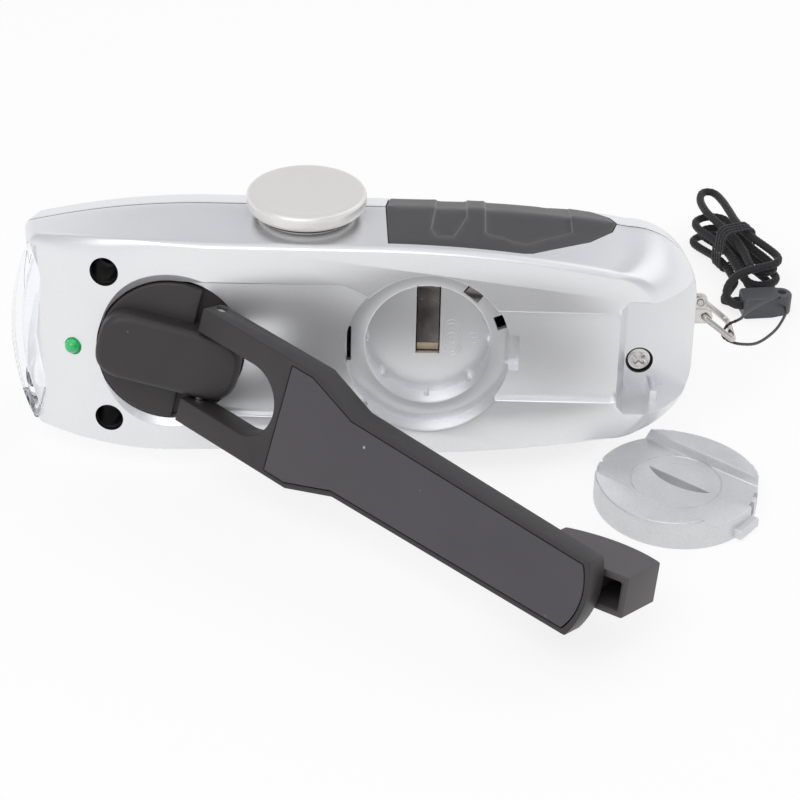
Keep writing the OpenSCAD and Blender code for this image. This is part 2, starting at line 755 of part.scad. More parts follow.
module hub_bar() {
    intersection() {
        translate([0, 0, hub_z0]) linear_extrude(face_h + bar_h - hub_z0) intersection() {
            bar_plan();
            circle(r = hub_r - 0.05, $fn = 96);
        }
        translate([-hub_r - 1, 0, face_h + bar_h - bar_crown]) rotate([0, 90, 0])
            cylinder(r = bar_crown, h = 2 * hub_r + 2, $fn = 160);
    }
}

module crank_hub() color("#464446") on_crank() difference() {
    union() {
        difference() {
            translate([0, 0, hub_z0]) cylinder(r = hub_r, h = segment_top - hub_z0, $fn = 96);
            for (s = [-1, 1]) translate([fold_r - tip_r - 0.4, s > 0 ? bar_w / 2 - eps : -hub_r - 1, slot_floor])
                cube([2 * hub_r, hub_r + 1 - bar_w / 2 + eps, face_h]);
        }
        hub_bar();
    }
    translate([0, 0, hub_z0 - 1]) cylinder(r = shaft_r + 0.02, h = shaft_top - hub_z0 + 1.02);
    translate([fold_r, hub_r, fold_z]) rotate([90, 0, 0]) cylinder(d = pin_d + 0.02, h = 2 * hub_r);
}

module crank_shaft() color("silver") on_crank() difference() {
    translate([0, 0, level_1 - clip_t - 0.9]) cylinder(r = shaft_r, h = shaft_top - level_1 + clip_t + 0.9);
    translate([0, 0, level_1 - clip_t - 0.05]) difference() {
        cylinder(r = shaft_r + 1, h = clip_t);
        cylinder(r = shaft_r - 0.5, h = clip_t);
    }
}

module shaft_clip() color("gray") on_crank() translate([0, 0, level_1 - clip_t - 0.03]) difference() {
    cylinder(r = shaft_r + 1.6, h = clip_t - 0.04);
    translate([0, 0, -1]) cylinder(r = shaft_r - 0.48, h = 3);
    translate([0, -1.6, -1]) cube([10, 3.2, 3]);
}

module fold_pin() color("silver") on_crank() translate([fold_r, fork_w / 2 - 0.4, fold_z])
    rotate([90, 0, 0]) cylinder(d = pin_d, h = fork_w - 0.8);

// Gears: involute teeth with short tips, so that the small pinions need no undercut
pressure = 20;
tip_share = 0.75;
root_share = 1.05;
function inv(a) = tan(a) - a * PI / 180;
function flank(z, m, r) = let (rb = z * m / 2 * cos(pressure), a = r > rb ? acos(rb / r) : 0)
    90 / z - backlash / z / m * 90 / PI + (inv(pressure) - inv(a)) * 180 / PI;
function gear_points(z, m) =
    let (rp = z * m / 2, radii = [rp - root_share * m, max(rp - 0.5 * m, z * m / 2 * cos(pressure)),
                                  rp + 0.2 * m, rp + tip_share * m])
    [for (k = [0:z - 1], i = [0:7]) let (r = i < 4 ? radii[i] : radii[7 - i],
        a = 360 * k / z + (i < 4 ? -1 : 1) * flank(z, m, r)) [r * cos(a), r * sin(a)]];

module gear(z, m) linear_extrude(gear_t) polygon(gear_points(z, m));

module wheel_at(m, level, phase) translate([0, 0, level]) rotate([0, 0, phase]) gear(wheel_z, m);
module pinion_at(m, level, phase) translate([0, 0, level]) rotate([0, 0, phase + 180 + 180 / pinion_z])
    gear(pinion_z, m);

module drive_gear() color("ivory") stand() at(axis_0) difference() {
    wheel_at(module_1, level_1, turn_1);
    cylinder(r = shaft_r + 0.02, h = 20);
    for (a = [0:60:300]) rotate([0, 0, a + 30]) translate([9.2, 0, 0]) cylinder(r = 3, h = 20);
}

module double_gear(p, m_small, m_big, turn_in, turn_out, level_in, level_out) stand() at(p) difference() {
    union() {
        pinion_at(m_small, level_in, turn_in);
        wheel_at(m_big, level_out, turn_out);
        translate([0, 0, level_out + gear_t - eps]) cylinder(r = 2.6, h = level_in - level_out - gear_t + 2 * eps);
    }
    translate([0, 0, -30]) cylinder(d = axle_d + 2 * run_gap, h = 60);
}

module first_gear() color("ivory")
    double_gear(axis_1, module_1, module_2, turn_1, turn_2, level_1, level_2);
module second_gear() color("ivory")
    double_gear(axis_2, module_2, module_3, turn_2, turn_3, level_2, level_3);

module rotor_pinion() color("ivory") stand() at(axis_3) difference() {
    union() {
        pinion_at(module_3, level_3, turn_3);
        translate([0, 0, magnet_z]) cylinder(r = 2.2, h = level_3 - magnet_z + eps);
    }
    translate([0, 0, -30]) cylinder(d = axle_d + 2 * run_gap, h = 60);
}

module rotor_magnet() color("dimgray") stand() at(axis_3) translate([0, 0, magnet_z]) difference() {
    cylinder(r = magnet_r, h = magnet_t);
    translate([0, 0, -1]) cylinder(r = 2.22, h = magnet_t + 2);
}

// Arm: fork, shoulders and tapered end, in its own axes at the fold pin
shoulder_x0 = 28.4;
shoulder_x1 = 39.5;
slot_r = bar_w / 2 + fork_gap;
end_sag = 1.8;

function arm_half(inset) = [[-tine_x, fork_w / 2 - inset], [shoulder_x0 - inset / 2, fork_w / 2 - inset],
    [shoulder_x1 - inset / 2, arm_w / 2 - inset], [arm_len + 1, arm_end_w / 2 - inset]];

module arm_plan(inset) {
    half = arm_end_w / 2 - inset;
    end_r = (half * half + end_sag * end_sag) / 2 / end_sag;
    end_x = arm_len - inset - end_r;
    intersection() {
        polygon(concat(arm_half(inset), mirrored(arm_half(inset))));
        union() {
            translate([end_x, 0]) circle(r = end_r, $fn = 160);
            translate([-2 * tine_x, -fork_w]) square([end_x + 2 * tine_x, 2 * fork_w]);
        }
    }
}

module arm_slot(inset) {
    translate([slot_end - slot_r, 0]) circle(r = slot_r + inset);
    translate([-40, -slot_r - inset]) square([40 + slot_end - slot_r, 2 * slot_r + 2 * inset]);
}

module arm_side()
    polygon([[-tine_x, arm_top - arm_t + 0.8], [-tine_x + 0.8, arm_top - arm_t], [shoulder_x0, arm_top - arm_t],
             [arm_len + 1, arm_top - arm_end_t], [arm_len + 1, arm_top], [-tine_x, arm_top]]);

module on_arm() on_crank() translate([fold_r, 0, fold_z]) rotate([0, -arm_lift, 0]) children();

knob_back = arm_top - arm_t - 0.3;
knob_pin_r = 1.5;
plate_floor = arm_top - plate_t;
plate_x0 = slot_end + 1.4;

module plate_plan(inset) {
    difference() {
        arm_plan(plate_rim + inset);
        arm_slot(plate_rim + inset);
        translate([-20, -20]) square([plate_x0 + inset + 20, 40]);
    }
}

module crank_arm() color("#464446") on_arm() difference() {
    intersection() {
        translate([0, 0, -20]) linear_extrude(40) difference() {
            arm_plan(0);
            arm_slot(0);
        }
        translate([0, 30, 0]) rotate([90, 0, 0]) linear_extrude(60) arm_side();
    }
    translate([0, 0, plate_floor]) linear_extrude(10) plate_plan(0);
    translate([0, 30, 0]) rotate([90, 0, 0]) cylinder(d = pin_d + 2 * run_gap, h = 60);
    translate([knob_a, 0, -20]) cylinder(r = knob_pin_r + 0.02, h = 40);
}

module arm_plate() color("#464446") on_arm() translate([0, 0, plate_floor + 0.02])
    linear_extrude(plate_t - 0.02) plate_plan(0.15);

// Knob: a hollow arched block that turns on a headed pin
knob_roof = 2;

module knob_side(inset) {
    half = knob_l / 2 - inset;
    top = knob_h + knob_arch;
    r = (half * half + knob_arch * knob_arch) / 2 / knob_arch;
    intersection() {
        translate([-half, -top]) square([2 * half, top]);
        translate([0, -top + inset + r]) circle(r = r, $fn = 160);
    }
}

module knob_block(inset) translate([0, knob_w / 2 - inset, 0]) rotate([90, 0, 0])
    linear_extrude(knob_w - 2 * inset) knob_side(inset);

module on_knob() on_arm() translate([knob_a, 0, knob_back]) children();

module crank_knob() color("#464446") on_knob() rotate([0, 0, knob_turn]) difference() {
    union() {
        difference() {
            knob_block(0);
            translate([0, 0, eps]) knob_block(knob_wall);
        }
        translate([0, 0, -knob_h]) cylinder(r = knob_w / 2 - 0.4, h = knob_h);
    }
    translate([0, 0, -knob_h + knob_roof]) cylinder(r = knob_pin_r + run_gap, h = knob_h + 1);
    translate([0, 0, -knob_h + knob_roof]) cylinder(r = knob_pin_r + 0.8, h = 1.4);
}

module knob_pin() color("silver") on_knob() {
    translate([0, 0, -knob_h + knob_roof + 1.5]) cylinder(r = knob_pin_r,
        h = knob_h - knob_roof - 1.5 - knob_back + plate_floor - 0.05);
    translate([0, 0, -knob_h + knob_roof + 0.1]) cylinder(r = knob_pin_r + 0.7, h = 1.2);
    translate([0, 0, -knob_h + knob_roof + 1.2]) cylinder(r = knob_pin_r, h = 0.5);
}

// Battery cover on the floor, outer face up
cover_at = [71.5, -28.4];
cover_turn = -38.7;
coin_slot_l = 15;
coin_slot_w = 2.6;
coin_slot_d = 1.8;

module cover_frame() translate([cover_at[0], cover_at[1], 0]) rotate([0, 0, cover_turn]) children();

module coin_slot() {
    r = (pow(coin_slot_l / 2, 2) + coin_slot_w * coin_slot_w) / 2 / coin_slot_w;
    intersection() {
        translate([0, coin_slot_w / 2 - coin_slot_w + r]) circle(r = r, $fn = 160);
        translate([-coin_slot_l, -coin_slot_w]) square([2 * coin_slot_l, 1.5 * coin_slot_w]);
    }
}

module battery_cover() color("silver") cover_frame() difference() {
    union() {
        cylinder(r = cover_r, h = cover_h, $fn = 120);
        intersection() {
            translate([cover_r - 1, -lug_w / 2 + 0.4, 0.6]) cube([3, lug_w - 0.8, 2.2]);
            cylinder(r = lug_r - 0.4, h = cover_h);
        }
    }
    translate([-cover_r - 5, 0, cover_h]) rotate([0, 90, 0]) linear_extrude(2 * cover_r + 10)
        polygon([[recess_d, -channel_w / 2 + 0.8], [-1, -channel_w / 2 - 0.4],
                 [-1, channel_w / 2 + 0.4], [recess_d, channel_w / 2 - 0.8]]);
    translate([0, 0, cover_h - recess_d - coin_slot_d]) linear_extrude(cover_h) coin_slot();
    translate([0, 0, cover_h - recess_d - 0.25]) difference() {
        cylinder(r = 9.5, h = 3);
        translate([0, 0, -1]) cylinder(r = 9.1, h = 5);
    }
    translate([0, 0, -1]) difference() {
        cylinder(r = cover_r - 2, h = 2.6);
        cylinder(r = cell_r - 1, h = 3);
    }
    for (a = [12, 24, 192, 204]) rotate([0, 0, a]) translate([cover_r - 0.8, -0.8, 2.2])
        cube([3, 1.6, cover_h]);
}

// Coin cell on the level upper wall, can upwards
cell_at = [-5.4, -0.6];
cell_rise = 0.25;
cell_rest = 2 * lift + cell_rise;
cap_r = 10;
cap_t = 1.5;
crimp_r = 11.4;

module cell_frame() translate([cell_at[0], cell_at[1], cell_rest]) children();

module cell_can() color("silver") cell_frame() rotate_extrude($fn = 120) {
    can_z = cap_t + 0.1;
    polygon([[0, can_z], [crimp_r, can_z], [cell_r, can_z + 0.9], [cell_r, cell_t - 0.5],
             [cell_r - 0.5, cell_t], [0, cell_t]]);
}

module cell_gasket() color("dimgray") cell_frame() difference() {
    translate([0, 0, cap_t - 0.6]) cylinder(r = crimp_r - 0.5, h = 0.68);
    cylinder(r = cap_r + 0.02, h = cell_t);
}

module cell_cap() color("gainsboro") cell_frame() rotate_extrude($fn = 120)
    polygon([[0, 0], [cap_r - 0.5, 0], [cap_r, 0.5], [cap_r, cap_t + 0.08], [0, cap_t + 0.08]]);

// Tube swept along points, with each ring square to the path and turned to a side direction
function unit(v) = v / norm(v);
function tangent(p, i) = unit(p[min(i + 1, len(p) - 1)] - p[max(i - 1, 0)]);
function ring(p, i, d, n, side) = let (t = tangent(p, i), u = unit(cross(side, t)), v = cross(t, u))
    [for (k = [0:n - 1]) p[i] + d / 2 * (cos(360 * k / n) * u + sin(360 * k / n) * v)];

module tube(p, d, n, side) {
    last = len(p) - 1;
    points = [for (i = [0:last]) each ring(p, i, d, n, side)];
    sides = [for (i = [0:last - 1], k = [0:n - 1]) each let (a = i * n + k, b = i * n + (k + 1) % n)
             [[a, a + n, b], [b, a + n, b + n]]];
    ends = [for (k = [1:n - 2]) each [[0, k, k + 1], [last * n, last * n + k + 1, last * n + k]]];
    polyhedron(points, concat(sides, ends));
}

// Smooth points through a route, a few to each stretch
function spline(a, b, c, d, t) = 0.5 * (2 * b + (c - a) * t + (2 * a - 5 * b + 4 * c - d) * t * t
                                        + (3 * b - a - 3 * c + d) * t * t * t);
function smooth(r, n) = concat([for (i = [0:len(r) - 2], k = [0:n - 1])
    spline(r[max(i - 1, 0)], r[i], r[i + 1], r[min(i + 2, len(r) - 1)], k / n)], [r[len(r) - 1]]);

// Wrist cord: a hank of four loops, one to a layer, drawn in at the waist where the tie holds it
hank_at = [95.3, 70.2];
hank_turn = 113;
hank_rings = 30;
hank_start = 0.16;
hank_end = 4;
hank_half = 16;
hank_waist = 3.2;
hank_bulge = 7;
hank_step = 2.5;
hank_layer = 2.6;
long_loop = 9;
long_lean = -4;
tie_d = 0.7;
tie_room = 0.9;
function hank_base(a) = [hank_half * cos(a), sin(a) * (hank_waist + hank_bulge * pow(cos(a), 2))];
function hank_out(a) = let (t = hank_base(a + 1) - hank_base(a - 1)) [t[1], -t[0]] / norm(t);
function hank_depth(v) = let (t = v % 2) t < 1 ? t : 2 - t;
function ramp(t) = t < 0 ? 0 : t > 1 ? 1 : t * t * (3 - 2 * t);
function hank_level(v) = ramp((v - 0.75) * 2) + ramp((v - 1.75) * 2) + ramp((v - 2.75) * 2);
function hank_tip(u, a) = u > 3 && cos(a) > 0 ? pow(cos(a), 2) : 0;
function hank_local(u) =
    let (a = 180 - 360 * u, v = u - 0.25, p = hank_base(a) - hank_step * hank_depth(v) * hank_out(a))
    [p[0] + long_loop * hank_tip(u, a), p[1] + long_lean * hank_tip(u, a),
     cord_d / 2 + 0.1 + hank_layer * hank_level(v) + tie_room * pow(sin(a), 4)];
function hank_place(q) = [hank_at[0] + q[0] * cos(hank_turn) - q[1] * sin(hank_turn),
                          hank_at[1] + q[0] * sin(hank_turn) + q[1] * cos(hank_turn), q[2]];
hank_path = [for (i = [0:(hank_end - hank_start) * hank_rings])
    hank_place(hank_local(hank_start + i / hank_rings))];

// The cord's two ends run side by side into the connector
connector_at = [100.2, 49.4];
connector_turn = 8;
connector_l = 12;
connector_w = 6.4;
connector_h = 5.2;
connector_end_r = 2.6;
lead_in = [[96.6, 50.7, 2.6], [94.2, 50.4, 2.5], [92, 51.2, 1.6], [91, 53.4, 1.1]];
lead_out = [[94.6, 53.8, 8], [91.4, 51.4, 6.2], [90.8, 48.8, 4.2], [92.8, 47.5, 2.9], [96.6, 48, 2.6]];
hank_last = len(hank_path) - 1;
cord_path = concat(smooth(concat(lead_in, [hank_path[0]]), 3), [for (i = [1:hank_last - 1]) hank_path[i]],
                   smooth(concat([hank_path[hank_last]], lead_out), 4));
cord_last = len(cord_path) - 1;
cord_gap = min([for (i = [0:cord_last - 8], j = [i + 8:cord_last]) norm(cord_path[i] - cord_path[j])]) - cord_d;
echo(cord_gap = cord_gap, cord_rings = len(cord_path));

module wrist_cord() color("#202020") tube(cord_path, cord_d, 8, [0, 0, 1]);

// Elastic tie: turns round the waist
tie_turns = 4;
tie_pitch = 1.1;
tie_mid = hank_step / 4;
tie_half = hank_waist - hank_step / 4 + cord_d / 2 + tie_d / 2 + 0.5;
tie_low = tie_d / 2 + 0.1;
tie_high = cord_d + 3 * hank_layer + tie_room + tie_d / 2 + 0.5;
function flat(c) = sign(c) * pow(abs(c), 0.4);
function tie_local(t) = let (a = 360 * t) [tie_pitch * (t - tie_turns / 2), tie_mid + tie_half * flat(cos(a)),
    (tie_low + tie_high) / 2 + (tie_high - tie_low) / 2 * flat(sin(a))];
tie_path = [for (i = [0:20 * tie_turns]) hank_place(tie_local(i / 20))];
tie_gap = min([for (p = tie_path, q = cord_path) norm(p - q)]) - (cord_d + tie_d) / 2;
echo(tie_gap = tie_gap);

module cord_tie() color("#303030") tube(tie_path, tie_d, 6, [cos(hank_turn), sin(hank_turn), 0]);

module lanyard_connector() color("#505050") translate([connector_at[0], connector_at[1], 0.1])
    rotate([0, 0, connector_turn]) linear_extrude(connector_h) {
        polygon([[-connector_l / 2, -connector_w / 2], [1, -connector_w / 2], [3.4, -connector_end_r],
                 [3.4, connector_end_r], [1, connector_w / 2], [-connector_l / 2, connector_w / 2]]);
        translate([connector_l / 2 - connector_end_r, 0]) circle(r = connector_end_r);
    }

// Thin string: out of the connector, round the bail's end and back
string_route = [[103.4, 49, 3.6], [102.6, 46.6, 6.2], [100, 40.5, 9], [95, 29, 14], [89.8, 15, 20.2],
                [86.9, 5.6, 24.1], [85.3, 3.1, 24.8], [84, 2.6, 24.4], [83.4, 2.4, 23.7], [82.8, 2.3, 22.8],
                [82.9, 2.2, 21.5], [84.2, 2.4, 20.4], [87, 4.4, 18.4], [92.5, 13.5, 13.2], [98.6, 27, 8.2],
                [102.8, 39.5, 4.2], [104.4, 45.6, 2.6], [104.4, 49, 2.4]];

module lanyard_string() color("#202020") tube(smooth(string_route, 4), string_d, 8, [0.5, 0.8, 0.33]);

bottom_shell();
top_shell();
upper_grip();
lower_grip();
front_lens();
reflector();
main_leds();
led_board();
charge_led();
case_screws();
circuit_board();
board_parts();
switch_body();
switch_button();
shaft_bush();
gear_plate();
gear_axles();
stator_core();
stator_coil();
cell_leaf();
cell_tab();
lanyard_lugs();
lanyard_bail();
crank_hub();
crank_shaft();
drive_gear();
shaft_clip();
fold_pin();
crank_arm();
arm_plate();
knob_pin();
crank_knob();
first_gear();
second_gear();
rotor_pinion();
rotor_magnet();
battery_cover();
cell_can();
cell_gasket();
cell_cap();
lanyard_string();
lanyard_connector();
wrist_cord();
cord_tie();
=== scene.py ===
"""Looks of a hand-crank flashlight that stands on its side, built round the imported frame.

Shapes are drawn in millimetres in the torch's own axes (x to the tail, y across, z out of the
crank face) or in standing axes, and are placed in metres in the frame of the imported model.
"""

from __future__ import annotations

import logging
import math
from dataclasses import dataclass, field
from enum import Enum
from typing import Callable, Iterable, Sequence

import bmesh
import bpy
from mathutils import Matrix, Vector
from mathutils.geometry import delaunay_2d_cdt

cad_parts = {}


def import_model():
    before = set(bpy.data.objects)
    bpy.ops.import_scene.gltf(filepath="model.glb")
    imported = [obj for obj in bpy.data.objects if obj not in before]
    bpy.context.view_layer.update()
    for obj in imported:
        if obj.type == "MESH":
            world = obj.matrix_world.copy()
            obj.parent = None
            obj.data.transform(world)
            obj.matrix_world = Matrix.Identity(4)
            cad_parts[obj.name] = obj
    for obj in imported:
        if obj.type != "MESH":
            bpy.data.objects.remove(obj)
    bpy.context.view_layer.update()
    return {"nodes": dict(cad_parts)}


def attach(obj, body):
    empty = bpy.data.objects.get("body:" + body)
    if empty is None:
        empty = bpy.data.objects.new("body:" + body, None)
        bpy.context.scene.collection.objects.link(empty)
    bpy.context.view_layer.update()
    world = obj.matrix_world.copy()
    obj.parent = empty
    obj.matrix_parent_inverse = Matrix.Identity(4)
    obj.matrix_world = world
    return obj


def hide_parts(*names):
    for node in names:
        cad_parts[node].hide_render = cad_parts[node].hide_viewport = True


log = logging.getLogger("flashlight")

Colour = tuple[float, float, float]
Flat = tuple[float, float]
Spot = tuple[float, float, float]
Object = bpy.types.Object
Node = bpy.types.Node
Socket = bpy.types.NodeSocket
Tree = bpy.types.NodeTree

MM = 0.001
SAME_SPOT = 2e-6
FLAT_ANGLE = math.radians(0.6)
DRAFT = math.radians(8.5)
HALF_WIDTH = 25.4
LIFT = HALF_WIDTH * math.cos(DRAFT)
STRIP = -HALF_WIDTH * math.sin(DRAFT) + 4 / math.cos(DRAFT)


class Cut(Enum):
    """How one shape changes another."""

    AWAY = "DIFFERENCE"
    JOIN = "UNION"
    KEEP = "INTERSECT"


class Side(Enum):
    """The two long sides of the torch."""

    UPPER = 1
    LOWER = -1


def scale_of(unit: float) -> Matrix:
    """A matrix that scales all three axes alike."""
    return Matrix.Diagonal((unit, unit, unit, 1.0))


def turned(angle: float, axis: str = "Z") -> Matrix:
    """A matrix that turns by an angle in degrees."""
    return Matrix.Rotation(math.radians(angle), 4, axis)


UPRIGHT = Matrix.Rotation(math.pi / 2 - DRAFT, 4, "X")
STAND = scale_of(MM) @ Matrix.Translation((0, -STRIP, LIFT)) @ UPRIGHT
FLOOR = scale_of(MM)


def linear(value: float) -> float:
    """Light of one 8-bit display value."""
    v = value / 255
    return v / 12.92 if v <= 0.04045 else ((v + 0.055) / 1.055) ** 2.4


def shown(red: float, green: float, blue: float) -> Colour:
    """Colour given by its 8-bit display values."""
    return (linear(red), linear(green), linear(blue))


def smoothstep(low: float, high: float, value: float) -> float:
    """Soft step from 0 at low to 1 at high."""
    t = min(1.0, max(0.0, (value - low) / (high - low)))
    return t * t * (3 - 2 * t)


# Flat outlines


def arc(x: float, y: float, radius: float, start: float, end: float, steps: int) -> list[Flat]:
    """Points on an arc, both ends included.

    Args:
        x: Centre.
        y: Centre.
        radius: Radius of the arc.
        start: First angle in degrees.
        end: Last angle in degrees.
        steps: Number of stretches.

    Returns:
        The points in order.
    """
    turns = [math.radians(start + (end - start) * i / steps) for i in range(steps + 1)]
    return [(x + radius * math.cos(a), y + radius * math.sin(a)) for a in turns]


def circle(radius: float, steps: int = 64, x: float = 0.0, y: float = 0.0) -> list[Flat]:
    """Points round a circle, counter-clockwise."""
    return arc(x, y, radius, 0, 360, steps)[:-1]


def rectangle(x0: float, y0: float, x1: float, y1: float) -> list[Flat]:
    """Corners of a rectangle, counter-clockwise."""
    return [(x0, y0), (x1, y0), (x1, y1), (x0, y1)]


def mirrored(points: Sequence[Flat]) -> list[Flat]:
    """Points on the other side of the x axis, in reverse order."""
    return [(x, -y) for x, y in reversed(points)]


def offset(points: Sequence[Flat], distance: float) -> list[Flat]:
    """Moves a counter-clockwise outline outwards, each corner along its mitre.

    Args:
        points: The outline.
        distance: How far it moves; below zero is inwards.

    Returns:
        As many points as were given.
    """
    moved = []
    count = len(points)
    for i, (x, y) in enumerate(points):
        normals = []
        for a, b in ((points[i - 1], points[i]), (points[i], points[(i + 1) % count])):
            dx, dy = b[0] - a[0], b[1] - a[1]
            size = math.hypot(dx, dy) or 1.0
            normals.append((dy / size, -dx / size))
        (ax, ay), (bx, by) = normals
        share = distance / max(0.35, 1 + ax * bx + ay * by)
        moved.append((x + (ax + bx) * share, y + (ay + by) * share))
    return moved


def rounded(points: Sequence[Flat], radius: float, steps: int = 5) -> list[Flat]:
    """Outline with each corner rounded, as far as its edges allow.

    Args:
        points: The corners in order.
        radius: Radius of the corners.
        steps: Stretches in each corner.

    Returns:
        The finer outline.
    """
    found: list[Flat] = []
    count = len(points)
    for i in range(count):
        here = Vector(points[i])
        before, after = Vector(points[i - 1]) - here, Vector(points[(i + 1) % count]) - here
        half = before.angle(after) / 2
        reach = min(radius / math.tan(half), 0.48 * before.length, 0.48 * after.length)
        start, end = here + before.normalized() * reach, here + after.normalized() * reach
        for k in range(steps + 1):
            t = k / steps
            p = start * (1 - t) ** 2 + here * 2 * t * (1 - t) + end * t * t
            found.append((p.x, p.y))
    return found


def resampled(points: Sequence[Flat], spacing: float) -> list[Flat]:
    """Closed outline with points added on its longer edges.

    Args:
        points: The outline.
        spacing: Longest edge that is left whole.

    Returns:
        The outline with its old points and the new ones.
    """
    found: list[Flat] = []
    for i, (x, y) in enumerate(points):
        nx, ny = points[(i + 1) % len(points)]
        parts = max(1, math.ceil(math.hypot(nx - x, ny - y) / spacing))
        found += [(x + (nx - x) * k / parts, y + (ny - y) * k / parts) for k in range(parts)]
    return found


def signed_distance(points: Sequence[Flat], x: float, y: float) -> float:
    """Distance from a point to an outline, below zero inside it."""
    best, inside = 1e9, False
    for i, (bx, by) in enumerate(points):
        ax, ay = points[i - 1]
        dx, dy = bx - ax, by - ay
        t = max(0.0, min(1.0, ((x - ax) * dx + (y - ay) * dy) / (dx * dx + dy * dy or 1.0)))
        best = min(best, math.hypot(x - ax - t * dx, y - ay - t * dy))
        if (ay > y) != (by > y) and x < (bx - ax) * (y - ay) / (by - ay) + ax:
            inside = not inside
    return -best if inside else best


# Solid shapes


@dataclass
class Block:
    """Vertices and faces of a closed shape."""

    verts: list[Spot] = field(default_factory=list)
    faces: list[tuple[int, ...]] = field(default_factory=list)

    def ring(self, points: Iterable[Flat], z: float | Callable[[float, float], float]) -> list[int]:
        """Adds a level ring of points and returns their numbers."""
        start = len(self.verts)
        self.verts += [(x, y, z(x, y) if callable(z) else z) for x, y in points]
        return list(range(start, len(self.verts)))

    def bridge(self, low: Sequence[int], high: Sequence[int]) -> None:
        """Joins two rings of the same count."""
        count = len(low)
        for i in range(count):
            j = (i + 1) % count
            self.faces.append((low[i], low[j], high[j], high[i]))

    def wall(self, rings: Sequence[Sequence[int]]) -> None:
        """Joins rings in order."""
        for low, high in zip(rings, rings[1:]):
            self.bridge(low, high)

    def stack(self, rings: Sequence[Sequence[int]]) -> None:
        """Joins rings in order and closes both ends with one face each."""
        self.wall(rings)
        self.faces.append(tuple(reversed(rings[0])))
        self.faces.append(tuple(rings[-1]))

    def add(self, other: "Block") -> None:
        """Takes in another block."""
        start = len(self.verts)
        self.verts += other.verts
        self.faces += [tuple(i + start for i in face) for face in other.faces]

    def fan(self, ring: Sequence[int], apex: Spot) -> None:
        """Closes a ring with triangles to one point."""
        self.verts.append(apex)
        top = len(self.verts) - 1
        for i in range(len(ring)):
            self.faces.append((ring[i], ring[(i + 1) % len(ring)], top))


def prism(plan: Sequence[Flat], z0: float, z1: float, lip: float = 0.0,
          lip_z: float = 0.0) -> Block:
    """Straight block on a plan, which may flare to a rounded lip for cutting a soft rim.

    Args:
        plan: Counter-clockwise outline.
        z0: Lower end.
        z1: Upper end.
        lip: Radius of the flare.
        lip_z: Height of the surface whose rim is rounded.

    Returns:
        The block.
    """
    block = Block()
    rings = [block.ring(plan, z0)]
    if lip:
        for i in range(6):
            t = math.radians(18 * i)
            rings.append(block.ring(offset(plan, lip * (1 - math.cos(t))),
                                    lip_z - lip + lip * math.sin(t)))
        rings.append(block.ring(offset(plan, lip * 1.15), z1))
    else:
        rings.append(block.ring(plan, z1))
    block.stack(rings)
    return block


def lathe(profile: Sequence[Flat], steps: int = 96, x: float = 0.0, y: float = 0.0) -> Block:
    """Turned block whose profile starts and ends on the axis.

    Args:
        profile: Radius and height, from the lower end to the upper.
        steps: Points round the axis.
        x: Place of the axis.
        y: Place of the axis.

    Returns:
        The block.
    """
    block = Block()
    rings = [block.ring(circle(r, steps, x, y), z) for r, z in profile if r > 0]
    block.wall(rings)
    block.fan(list(reversed(rings[0])), (x, y, profile[0][1]))
    block.fan(rings[-1], (x, y, profile[-1][1]))
    return block


def column(radius: float, z0: float, z1: float, steps: int = 32, x: float = 0.0,
           y: float = 0.0) -> Block:
    """Plain upright cylinder between two heights."""
    return lathe([(0, z0), (radius, z0), (radius, z1), (0, z1)], steps, x, y)


def band(rings: Sequence[tuple[Sequence[Flat], float]]) -> Block:
    """Closed ring through outlines of one count, each at its height, round its section."""
    block = Block()
    found = [block.ring(points, z) for points, z in rings]
    block.wall(found + found[:1])
    return block


def beam(section: Sequence[Flat], x0: float, x1: float) -> Block:
    """Straight block along x on a section that is counter-clockwise in y and z."""
    block = Block()
    rings = []
    for x in (x0, x1):
        start = len(block.verts)
        block.verts += [(x, y, z) for y, z in section]
        rings.append(list(range(start, len(block.verts))))
    block.stack(rings)
    return block


def softened(profile: Sequence[Flat], radius: float, steps: int = 4) -> list[Flat]:
    """Profile of a turned piece with its inner corners rounded, ends on the axis kept."""
    ends = [profile[0], profile[-1]]
    found: list[Flat] = [ends[0]]
    for before, here, after in zip(profile, profile[1:], profile[2:]):
        h, a, b = Vector(here), Vector(before) - Vector(here), Vector(after) - Vector(here)
        reach = min(radius, 0.45 * a.length, 0.45 * b.length)
        start, end = h + a.normalized() * reach, h + b.normalized() * reach
        for k in range(steps + 1):
            t = k / steps
            p = start * (1 - t) ** 2 + h * 2 * t * (1 - t) + end * t * t
            found.append((p.x, p.y))
    return found + [ends[1]]


